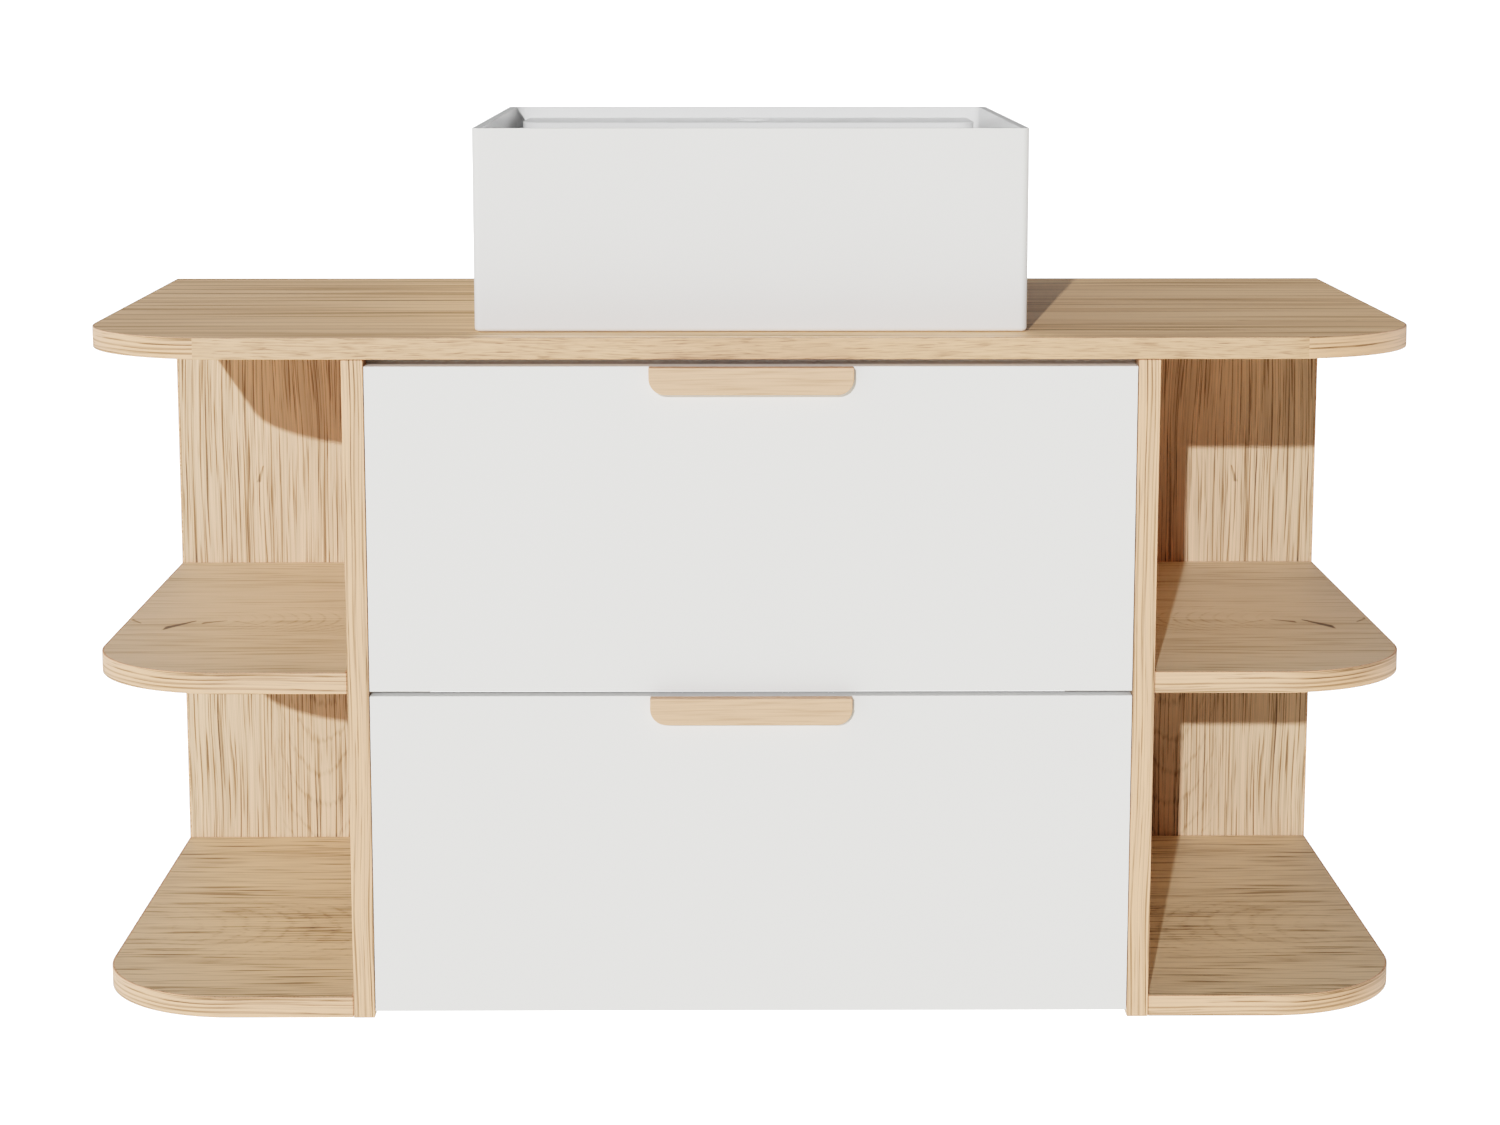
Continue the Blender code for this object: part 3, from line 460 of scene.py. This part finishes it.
def layer_mean(low, high):
    """Rough mean of a layer: a half if its band is about the middle of the noise, less if it is above."""
    is_central = (low + high) / 2 < 0.55
    return 0.5 if is_central else 0.15


def oak_material(kind):
    """Satin oak. Layers of streaks along the grain add up to a darkness, which a ramp turns into wood."""
    (pale, middle, dark), layers = OAK_KINDS[kind]
    material, nodes, links, shader = new_material("oak_" + kind, middle, 0.5)
    bent = wavy_grain(nodes, links)
    darkness = add_streaks(nodes, links, bent, layers)
    if kind in FIGURES:
        darkness = add_figure(nodes, links, bent, darkness, FIGURES[kind])
    split = tuple(part * SPLIT_SHADE for part in dark)
    depth = calculate(nodes, links, "MULTIPLY", darkness, 1 / FULL_DARKNESS)
    woods = ((0.0, pale), (MIDDLE_DARKNESS, middle), (1.0, dark), (FULL_DARKNESS, split))
    add_tones(nodes, links, shader, depth, [(place / FULL_DARKNESS, wood) for place, wood in woods])
    links.new(mapped(nodes, links, darkness, 0.0, 1.0, *OAK_ROUGHNESS), shader.inputs["Roughness"])
    height = calculate(nodes, links, "MULTIPLY", darkness, -1.0)
    add_bump(nodes, links, shader, height, strength=0.35, distance=0.0002)
    return material


def add_figure(nodes, links, bent, darkness, figure):
    """Cathedral grain: thin parabolas about a heart line along the board, with splits by a knot on it."""
    axis = nodes.new("ShaderNodeSeparateXYZ")
    links.new(bent, axis.inputs[0])
    along = axis.outputs["X"]
    off_heart = calculate(nodes, links, "SUBTRACT", axis.outputs["Y"], figure["heart"])
    phase = ring_phase(nodes, links, bent, along, off_heart, figure)
    ring = mapped(nodes, links, calculate(nodes, links, "PINGPONG", phase, 0.5), figure["gap"], 0.5)
    distance = calculate(nodes, links, "ABSOLUTE", off_heart)
    near = mapped(nodes, links, distance, figure["half_width"] / 4, figure["half_width"], 1.0, 0.0)
    inner = mapped(nodes, links, along, *figure["reach"], 1.0, 0.0)
    ring = calculate(nodes, links, "MULTIPLY", ring, calculate(nodes, links, "MULTIPLY", near, inner))
    darkness = calculate(nodes, links, "MULTIPLY_ADD", ring, figure["strength"], darkness)
    for start, end, width, strength in figure["splits"]:
        split = stroke(nodes, links, along, off_heart, start, end, width)
        darkness = calculate(nodes, links, "MULTIPLY_ADD", split, strength, darkness)
    return darkness


def ring_phase(nodes, links, bent, along, off_heart, figure):
    """Count of growth rings passed at a point, on parabolas that slow and ragged noise bends."""
    steepness = 1 / figure["spacing"] / figure["roundness"]
    squared = calculate(nodes, links, "MULTIPLY", off_heart, off_heart)
    curve = calculate(nodes, links, "MULTIPLY", squared, steepness)
    phase = calculate(nodes, links, "MULTIPLY_ADD", along, -1 / figure["spacing"], curve)
    for scale, size in ((SLOW_BEND_SCALE, SLOW_BEND), (RAGGED_SCALE, figure["raggedness"])):
        bend = noise(nodes, links, scaled(nodes, links, bent, scale))
        phase = calculate(nodes, links, "MULTIPLY_ADD", bend, size, phase)
    return phase


def stroke(nodes, links, along, across, start, end, width):
    """A mark that tapers from a wide start to a thin end, both given as (along, across)."""
    travel = nodes.new("ShaderNodeMapRange")
    for name, number in (("From Min", start[0]), ("From Max", end[0])):
        travel.inputs[name].default_value = number
    links.new(along, travel.inputs["Value"])
    travel = travel.outputs["Result"]
    middle = calculate(nodes, links, "MULTIPLY_ADD", travel, end[1] - start[1], start[1])
    away = calculate(nodes, links, "ABSOLUTE", calculate(nodes, links, "SUBTRACT", across, middle))
    taper = calculate(nodes, links, "MULTIPLY_ADD", travel, -SPLIT_TAPER * width, width)
    off_middle = calculate(nodes, links, "DIVIDE", away, taper)
    inside = mapped(nodes, links, off_middle, SPLIT_CORE, 1.0, 1.0, 0.0)
    from_end = calculate(nodes, links, "PINGPONG", travel, 0.5)
    grown = mapped(nodes, links, from_end, 0.0, SPLIT_FADE)
    return calculate(nodes, links, "MULTIPLY", inside, grown)


def lacquer_material():
    """Matt white lacquer, with the faint unevenness of a sprayed film."""
    material, nodes, links, shader = new_material("matt_white_lacquer", (0.80, 0.80, 0.80), 0.55)
    cloud = texture(nodes, links, 7.0)
    peel = texture(nodes, links, 420.0)
    add_tones(nodes, links, shader, cloud, ((0.3, (0.795, 0.795, 0.793)), (0.7, (0.805, 0.805, 0.804))))
    add_gloss(nodes, links, shader, peel, smoothest=0.50, roughest=0.60)
    add_bump(nodes, links, shader, peel, strength=0.06, distance=0.0001)
    return material


def melamine_material():
    """White melamine with the fine pearl texture of drawer board."""
    material, nodes, links, shader = new_material("white_melamine", (0.78, 0.78, 0.77), 0.45)
    pearl = texture(nodes, links, 900.0)
    cloud = texture(nodes, links, 9.0, detail=3.0)
    add_tones(nodes, links, shader, cloud, ((0.3, (0.755, 0.755, 0.745)), (0.7, (0.790, 0.790, 0.780))))
    add_gloss(nodes, links, shader, pearl, smoothest=0.38, roughest=0.52)
    add_bump(nodes, links, shader, pearl, strength=0.15, distance=0.0001)
    return material


def hardboard_material():
    """White-faced hardboard: a thin film over pressed fibres."""
    material, nodes, links, shader = new_material("faced_hardboard", (0.70, 0.69, 0.66), 0.6)
    fibres = texture(nodes, links, (260.0, 90.0, 600.0), detail=5.0, distortion=1.5)
    add_tones(nodes, links, shader, fibres, ((0.25, (0.66, 0.65, 0.615)), (0.75, (0.73, 0.72, 0.695))))
    add_gloss(nodes, links, shader, fibres, smoothest=0.52, roughest=0.66)
    add_bump(nodes, links, shader, fibres, strength=0.2, distance=0.0002)
    return material


def ceramic_material():
    """White glaze: a smooth coat over a body with slight pooling and fine ripple."""
    material, nodes, links, shader = new_material("white_glaze", (0.80, 0.80, 0.80), 0.32)
    pooling = texture(nodes, links, 5.0)
    ripple = texture(nodes, links, 55.0)
    add_tones(nodes, links, shader, pooling, ((0.3, (0.790, 0.790, 0.790)), (0.7, (0.806, 0.806, 0.805))))
    add_gloss(nodes, links, shader, pooling, smoothest=0.28, roughest=0.37)
    shader.inputs["Specular IOR Level"].default_value = 0.35
    shader.inputs["Coat Weight"].default_value = 0.15
    shader.inputs["Coat Roughness"].default_value = 0.06
    add_bump(nodes, links, shader, ripple, strength=0.03, distance=0.0005)
    return material


def metal_material(name, colour, roughness, brushed):
    """Metal with fine drawing or polishing lines, and a cloudy bloom in its gloss."""
    material, nodes, links, shader = new_material(name, colour, roughness, 1.0)
    lines = texture(nodes, links, (900.0, 14.0, 900.0))
    bloom = texture(nodes, links, 70.0, detail=4.0)
    pale = tuple(min(1.0, part * 1.08) for part in colour)
    dull = tuple(part * 0.86 for part in colour)
    add_tones(nodes, links, shader, bloom, ((0.25, dull), (0.75, pale)))
    half_bloom = calculate(nodes, links, "MULTIPLY", bloom, 0.5)
    gloss = calculate(nodes, links, "MULTIPLY_ADD", lines, 0.5, half_bloom)
    add_gloss(nodes, links, shader, gloss, smoothest=roughness * 0.7, roughest=roughness * 1.4)
    add_bump(nodes, links, shader, lines, strength=brushed, distance=0.0001)
    return material


def plastic_material():
    """Moulded white plastic with a slight eggshell texture."""
    material, nodes, links, shader = new_material("moulded_plastic", (0.80, 0.80, 0.79), 0.38)
    eggshell = texture(nodes, links, 500.0)
    flow = texture(nodes, links, (25.0, 25.0, 60.0))
    add_tones(nodes, links, shader, flow, ((0.3, (0.77, 0.77, 0.755)), (0.7, (0.81, 0.81, 0.80))))
    add_gloss(nodes, links, shader, eggshell, smoothest=0.30, roughest=0.46)
    add_bump(nodes, links, shader, eggshell, strength=0.08, distance=0.0001)
    return material


def rubber_material():
    """Black rubber with a little pale dust in its skin."""
    material, nodes, links, shader = new_material("black_rubber", (0.03, 0.03, 0.03), 0.75)
    dust = texture(nodes, links, 300.0, detail=4.0)
    add_tones(nodes, links, shader, dust, ((0.3, (0.022, 0.022, 0.022)), (0.8, (0.060, 0.059, 0.057))))
    add_gloss(nodes, links, shader, dust, smoothest=0.65, roughest=0.85)
    add_bump(nodes, links, shader, dust, strength=0.2, distance=0.0002)
    return material


def make_materials():
    return {
        "oak_top": oak_material("worktop"),
        "oak_middle": oak_material("middle_shelf"),
        "oak_bottom": oak_material("bottom_shelf"),
        "oak_panel": oak_material("panel"),
        "oak_edge": oak_material("edge"),
        "oak_front_edge": oak_material("front_edge"),
        "oak_pull": oak_material("pull"),
        "white": lacquer_material(),
        "melamine": melamine_material(),
        "hardboard": hardboard_material(),
        "ceramic": ceramic_material(),
        "steel": metal_material("zinc_plated_steel", (0.62, 0.62, 0.63), 0.34, 0.10),
        "chrome": metal_material("polished_chrome", (0.80, 0.80, 0.81), 0.07, 0.01),
        "brass": metal_material("plain_brass", (0.72, 0.55, 0.25), 0.30, 0.06),
        "plastic": plastic_material(),
        "rubber": rubber_material(),
    }


# ---------------------------------------------------------------- mesh helpers

def add_piece(name, bm, materials, node):
    """Link a mesh as a piece that stands for a CAD node and rides on its body."""
    mesh = bpy.data.meshes.new(name)
    bm.to_mesh(mesh)
    bm.free()
    for material in materials:
        mesh.materials.append(material)
    piece = bpy.data.objects.new(name, mesh)
    bpy.context.scene.collection.objects.link(piece)
    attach(piece, BODY_OF[node])
    return piece


def smooth(piece):
    """Smooth shading, in which wide faces stay flat right up to their rounded edges."""
    piece.data.shade_smooth()
    piece.data.set_sharp_from_angle(angle=math.radians(SMOOTH_DEGREES))
    weighted = piece.modifiers.new("flat_faces", "WEIGHTED_NORMAL")
    weighted.keep_sharp = True


def rounded_outline(low, high, radii, inset):
    """Rectangle with its own radius at each corner, moved inwards by inset, anticlockwise from low."""
    corners = (((low[0], low[1]), (1, 1)), ((high[0], low[1]), (-1, 1)),
               ((high[0], high[1]), (-1, -1)), ((low[0], high[1]), (1, -1)))
    points = []
    for quarter, ((corner, toward), radius) in enumerate(zip(corners, radii)):
        steps = ROUND_STEPS if radius > SHARP_CORNER * 2 else SHARP_STEPS
        offset = max(radius, inset + LEAST_RADIUS)
        centre = [place + sign * offset for place, sign in zip(corner, toward)]
        reach = max(radius - inset, LEAST_RADIUS)
        for step in range(steps + 1):
            turn = math.pi * (1 + quarter / 2 + step / steps / 2)
            points.append((centre[0] + reach * math.cos(turn), centre[1] + reach * math.sin(turn)))
    return points


def circle_outline(centre, radius, steps=HOLE_STEPS):
    turns = [2 * math.pi * step / steps for step in range(steps)]
    return [(centre[0] + radius * math.cos(turn), centre[1] + radius * math.sin(turn)) for turn in turns]


def board_section(half_thickness, edge_band):
    """Upper half of a board's edge, as (inset, level, is_band), from its side round to its face."""
    section = []
    for step in range(EDGE_STEPS + 1):
        turn = step / EDGE_STEPS * math.pi / 2
        inset = EDGE_ROUND * (1 - math.cos(turn))
        level = half_thickness - EDGE_ROUND * (1 - math.sin(turn))
        section.append((inset, level, True))
    if edge_band:
        section.append((BAND_THICKNESS, half_thickness, True))
        section.append((BAND_THICKNESS + SEAM_WIDTH / 2, half_thickness - SEAM_DEPTH, False))
        section.append((BAND_THICKNESS + SEAM_WIDTH, half_thickness, False))
    return section


class Board:
    """Mesh of an oak board with rounded edges, in place of a CAD block.

    plane names the two axes of the broad face, and grain the one that the grain follows there. The narrow
    faces carry an edge band, whose grain follows the edge round every corner. A layer named grain holds
    every face corner's distance along and across the grain from origin, in metres, with x turned round on
    a mirrored board.
    """

    def __init__(self, node, plane, grain, radii, origin, mirrored, edge_band):
        self.low, self.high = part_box(node)
        self.origin = origin or self.low
        self.mirrored = mirrored
        self.first, self.second = (AXES.index(letter) for letter in plane)
        self.third = 3 - self.first - self.second
        self.along = AXES.index(grain)
        self.across = self.first + self.second - self.along
        self.middle = (self.low[self.third] + self.high[self.third]) / 2
        self.half = (self.high[self.third] - self.low[self.third]) / 2
        self.radii = [max(radius, SHARP_CORNER) for radius in radii or (0.0,) * 4]
        upper = board_section(self.half, edge_band)
        self.section = [(inset, -level, is_band) for inset, level, is_band in reversed(upper)] + upper
        self.bm = bmesh.new()
        self.layer = self.bm.loops.layers.uv.new("grain")

    def outline(self, inset):
        corners = ((corner[self.first], corner[self.second]) for corner in (self.low, self.high))
        return rounded_outline(*corners, self.radii, inset)

    def add_ring(self, outline, level):
        ring = []
        for point in outline:
            place = Vector()
            place[self.first], place[self.second], place[self.third] = *point, self.middle + level
            ring.append(self.bm.verts.new(place))
        return ring

    def lay_flat(self, face):
        """Give a face the grain of the broad face."""
        for loop in face.loops:
            offset = loop.vert.co - self.origin
            if self.mirrored:
                offset.x = -offset.x
            loop[self.layer].uv = offset[self.along], offset[self.across]

    def lay_round(self, side, start, end, low_level, high_level):
        """Give a face of the edge band grain that follows the edge, from start to end on the way round."""
        spots = ((start, low_level), (end, low_level), (end, high_level), (start, high_level))
        is_lip = low_level == high_level
        for loop, spot in zip(side.loops, spots):
            loop[self.layer].uv = spot[::-1] if is_lip else spot

    def add_sides(self, has_front_edge):
        """Faces round the board's edge. Its straight stretches have a finish of their own at the front."""
        rim = self.outline(0.0)
        count = len(rim)
        lengths = [math.dist(rim[index], rim[(index + 1) % count]) for index in range(count)]
        travelled = [sum(lengths[:index]) for index in range(count + 1)]
        rings = [self.add_ring(self.outline(inset), level) for inset, level, _ in self.section]
        strips = zip(rings, rings[1:], self.section, self.section[1:])
        for below, above, (_, low_level, low_band), (_, high_level, high_band) in strips:
            for index in range(count):
                following = (index + 1) % count
                side = self.bm.faces.new((below[index], below[following], above[following], above[index]))
                if not (low_band and high_band):
                    self.lay_flat(side)
                    continue
                depth = abs(rim[following][1] - rim[index][1])
                is_front = has_front_edge and depth < FRONT_EDGE_SLOPE * lengths[index]
                side.material_index = 2 if is_front else 1
                self.lay_round(side, travelled[index], travelled[index + 1], low_level, high_level)
        return rings[0], rings[-1]

    def add_face(self, ring, circles, outward):
        """Broad face inside a ring of vertices, with the circles left open."""
        edges = [self.bm.edges.get(pair) for pair in zip(ring, ring[1:] + ring[:1])]
        for circle in circles:
            edges += [self.bm.edges.new(pair) for pair in zip(circle, circle[1:] + circle[:1])]
        normal = Vector([outward * (axis == self.third) for axis in range(3)])
        filled = bmesh.ops.triangle_fill(self.bm, edges=edges, use_beauty=True, normal=normal)
        for item in filled["geom"]:
            if isinstance(item, bmesh.types.BMFace):
                self.lay_flat(item)

    def add_hole_wall(self, bottom, top):
        for start, end, end_up, start_up in zip(bottom, bottom[1:] + bottom[:1], top[1:] + top[:1], top):
            self.lay_flat(self.bm.faces.new((end, start, start_up, end_up)))


def make_board(node, plane, grain, face, edge, radii=None, holes=(), front_edge=None, origin=None,
               mirrored=False, edge_band=True):
    """A board in oak: face and edge are its materials, and front_edge is for its straight front edge."""
    board = Board(node, plane, grain, radii, origin, mirrored, edge_band)
    bottom, top = board.add_sides(front_edge is not None)
    low_circles, high_circles = ([board.add_ring(circle_outline(*hole), level) for hole in holes]
                                 for level in (-board.half, board.half))
    board.add_face(bottom, low_circles, -1)
    board.add_face(top, high_circles, 1)
    for low_circle, high_circle in zip(low_circles, high_circles):
        board.add_hole_wall(low_circle, high_circle)
    bmesh.ops.recalc_face_normals(board.bm, faces=board.bm.faces[:])
    piece = add_piece(node + "_board", board.bm, (face, edge, front_edge or edge), node)
    smooth(piece)
    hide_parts(node)


def weld(bm, gap, degrees):
    """Join vertices that are closer than a gap, and faces that are flat to within some degrees."""
    bmesh.ops.remove_doubles(bm, verts=bm.verts[:], dist=gap)
    bmesh.ops.dissolve_limit(bm, angle_limit=math.radians(degrees), verts=bm.verts[:], edges=bm.edges[:])


def round_edges(bm, width, segments):
    limit = math.radians(SHARP_DEGREES)
    sharp = [edge for edge in bm.edges if edge.is_manifold and edge.calc_face_angle() > limit]
    bmesh.ops.bevel(bm, geom=sharp, offset=width, segments=segments, profile=0.5, affect="EDGES",
                    clamp_overlap=True)


def soften(node, material, width=SOFT_ROUND, segments=2):
    """A copy of a CAD node's shape with its sharp edges rounded by width."""
    bm = bmesh.new()
    bm.from_mesh(frame["nodes"][node].data)
    weld(bm, CAD_GAP, CAD_FLATNESS)
    round_edges(bm, width, segments)
    piece = add_piece(node + "_piece", bm, (material,), node)
    smooth(piece)
    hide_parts(node)


# ---------------------------------------------------------------- boards

def hole_centres():
    """Where the drain and the tap's hoses pass through the worktop."""
    drain_low, drain_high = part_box("waste_body")
    basin_low, basin_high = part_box("basin")
    drain = ((drain_low.x + drain_high.x) / 2, (drain_low.y + drain_high.y) / 2)
    tap = ((basin_low.x + basin_high.x) / 2, basin_high.y - TAP_FROM_BACK)
    return drain, tap


def make_worktop(materials):
    drain, tap = hole_centres()
    make_board("worktop", "XY", "X", materials["oak_top"], materials["oak_edge"],
               radii=(WORKTOP_CORNER, WORKTOP_CORNER, 0.0, 0.0),
               holes=((drain, DRAIN_CUT_RADIUS), (tap, HOSE_CUT_RADIUS)),
               front_edge=materials["oak_front_edge"])


def make_shelf_units(materials):
    panel, edge = materials["oak_panel"], materials["oak_edge"]
    for side in ("left", "right"):
        is_left = side == "left"
        low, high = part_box(side + "_partition")
        inner = Vector((low.x if is_left else high.x, high.y, low.z))
        make_board(side + "_partition", "YZ", "Z", panel, edge, origin=inner)
        make_board(side + "_back_panel", "XZ", "Z", panel, edge, origin=inner, mirrored=is_left)
        radii = (SHELF_CORNER, 0.0, 0.0, 0.0) if is_left else (0.0, SHELF_CORNER, 0.0, 0.0)
        for level in ("middle", "bottom"):
            make_board(f"{side}_{level}_shelf", "XY", "X", materials["oak_" + level], edge, radii=radii,
                       origin=inner, mirrored=is_left)


def make_rails(materials):
    for node in ("front_crossbar", "hanging_rail", "lower_rail"):
        soften(node, materials["white"], RAIL_ROUND, 3)


def make_fronts(materials):
    for level in ("upper", "lower"):
        soften(level + "_drawer_front", materials["white"], FRONT_ROUND, 3)
        make_board(level + "_drawer_pull", "XZ", "X", materials["oak_pull"], materials["oak_pull"],
                   radii=(PULL_CORNER, PULL_CORNER, 0.0, 0.0), edge_band=False)


def make_drawer_boxes(materials):
    for node in frame["nodes"]:
        if node.endswith(("_side", "_back", "_back_left", "_back_right")) or "_well_" in node:
            soften(node, materials["melamine"])
        elif node.endswith("drawer_bottom"):
            soften(node, materials["hardboard"], SHEET_ROUND)


def make_hardware(materials):
    for node in frame["nodes"]:
        if "_runner_" in node or node.endswith("bracket"):
            soften(node, materials["steel"], SHEET_ROUND)
        elif "_pull_screw_" in node:
            soften(node, materials["steel"], SCREW_ROUND)


# ---------------------------------------------------------------- basin, waste and trap

def make_loft(name, rings):
    """Closed solid through a stack of outlines, each (height, outline) and all with as many points."""
    bm = bmesh.new()
    stack = [[bm.verts.new((*point, height)) for point in outline] for height, outline in rings]
    for below, above in zip(stack, stack[1:]):
        for index in range(len(below)):
            following = (index + 1) % len(below)
            bm.faces.new((below[index], below[following], above[following], above[index]))
    bm.faces.new(reversed(stack[0]))
    bm.faces.new(stack[-1])
    mesh = bpy.data.meshes.new(name)
    bm.to_mesh(mesh)
    bm.free()
    solid = bpy.data.objects.new(name, mesh)
    bpy.context.scene.collection.objects.link(solid)
    return solid


def cut(solid, *tools):
    """Subtract every tool from a solid, and throw the tools away."""
    for tool in tools:
        modifier = solid.modifiers.new("cut", "BOOLEAN")
        modifier.operation = "DIFFERENCE"
        modifier.solver = "EXACT"
        modifier.object = tool
    graph = bpy.context.evaluated_depsgraph_get()
    shape = bpy.data.meshes.new_from_object(solid.evaluated_get(graph))
    solid.modifiers.clear()
    solid.data = shape
    for tool in tools:
        bpy.data.objects.remove(tool, do_unlink=True)
    return solid


def prism(name, low, high, radii, bottom, top):
    outline = rounded_outline(low, high, radii, 0.0)
    return make_loft(name, ((bottom, outline), (top, outline)))


def round_prism(name, centre, radius, bottom, top):
    outline = circle_outline(centre, radius, BORE_STEPS)
    return make_loft(name, ((bottom, outline), (top, outline)))


def bowl_loft(low, high, grown):
    """The hollow of the bowl, all of it moved outwards by the grown distance: a wall that is steep at the
    rim and flat where it meets the floor, with corners that open up on the way down."""
    edge = RIM_WIDTH - grown
    deck = high.z - DECK_DROP
    floor = high.z - BOWL_DEPTH - grown
    rings = []
    for step in range(BOWL_STEPS + 1):
        turn = step / BOWL_STEPS * math.pi / 2
        slack = 1 - math.sin(turn)
        inset = edge + (BOWL_INSET + grown / 2) * slack
        radius = BOWL_TOP_CORNER + (BOWL_FLOOR_CORNER - BOWL_TOP_CORNER) * slack
        outline = rounded_outline((low.x + inset, low.y + inset), (high.x - inset, high.y - inset),
                                  (radius,) * 4, 0.0)
        rings.append((floor + (deck - floor) * (1 - math.cos(turn)) ** WALL_CURVE, outline))
    rings.append((high.z + OVERCUT, rings[-1][1]))
    return make_loft("bowl", rings)


def outer_rings(low, high):
    """Outline of the basin's outside from its rounded foot up to the rim."""
    rings = []
    for step in range(FOOT_STEPS + 1):
        turn = step / FOOT_STEPS * math.pi / 2
        outline = rounded_outline((low.x, low.y), (high.x, high.y), (BASIN_CORNER,) * 4,
                                  FOOT_ROUND * (1 - math.sin(turn)))
        rings.append((low.z + FOOT_ROUND * (1 - math.cos(turn)), outline))
    rings.append((high.z, rings[-1][1]))
    return rings


def deck_block(low, high, shrink, top):
    """Block under the tap deck, with rounded front corners, set against the back wall."""
    centre = (low.x + high.x) / 2
    half = DECK_HALF_WIDTH - shrink
    front = high.y - RIM_WIDTH - DECK_LENGTH + shrink
    corner = DECK_CORNER - shrink / 2
    return prism("deck", (centre - half, front), (centre + half, high.y + 4 * OVERCUT),
                 (corner, corner, OVERCUT, OVERCUT), low.z - 3 * OVERCUT, top)


def make_basin(materials):
    """Cast basin: thin rim, deep bowl, tap deck at the back, and a hollow underside round the drain boss."""
    low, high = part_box("basin")
    drain, tap = hole_centres()
    deck_top = high.z - DECK_DROP
    floor = high.z - BOWL_DEPTH
    body = make_loft("basin_piece", outer_rings(low, high))
    bowl = cut(bowl_loft(low, high, 0.0), deck_block(low, high, 0.0, deck_top))
    shell = cut(bowl_loft(low, high, CERAMIC), deck_block(low, high, CERAMIC, high.z + 2 * OVERCUT))
    hollow = prism("hollow", (low.x + SKIRT, low.y + SKIRT), (high.x - SKIRT, high.y - SKIRT),
                   (SKIRT_CORNER,) * 4, low.z - OVERCUT, deck_top - CERAMIC)
    boss = round_prism("boss", drain, TUBE_RADIUS + CERAMIC, low.z - 2 * OVERCUT, floor - CERAMIC / 2)
    cut(hollow, shell, boss)
    cut(body, bowl, hollow,
        round_prism("tap_hole", tap, TAP_HOLE_RADIUS, low.z - OVERCUT, high.z),
        round_prism("drain_hole", drain, TUBE_RADIUS + FLANGE_PLAY, low.z - OVERCUT, high.z),
        round_prism("flange_recess", drain, FLANGE_RADIUS + FLANGE_PLAY, floor - FLANGE_RECESS, high.z))
    bm = bmesh.new()
    bm.from_mesh(body.data)
    bpy.data.objects.remove(body, do_unlink=True)
    weld(bm, CUT_GAP, CUT_FLATNESS)
    round_edges(bm, RIM_ROUND, 4)
    piece = add_piece("basin_ceramic", bm, (materials["ceramic"],), "basin")
    smooth(piece)
    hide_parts("basin")


def make_plumbing(materials):
    kinds = {
        "rubber": ("basin_gasket", "waste_washer"),
        "chrome": ("waste_body", "waste_cap", "wall_flange"),
        "brass": ("waste_nut",),
        "plastic": ("trap_inlet_tube", "trap_inlet_nut", "trap_body", "trap_cup", "trap_outlet_tube",
                    "trap_outlet_nut"),
    }
    for kind, kind_nodes in kinds.items():
        for node in kind_nodes:
            soften(node, materials[kind])


# ---------------------------------------------------------------- assembly

make_camera()
make_sun("key_light", KEY_TRAVEL, KEY_STRENGTH, KEY_ANGLE)
make_sun("fill_light", FILL_TRAVEL, FILL_STRENGTH, FILL_ANGLE)
make_world()
make_floor()
set_film_response()
materials = make_materials()
make_worktop(materials)
make_shelf_units(materials)
make_rails(materials)
make_fronts(materials)
make_drawer_boxes(materials)
make_hardware(materials)
make_basin(materials)
make_plumbing(materials)
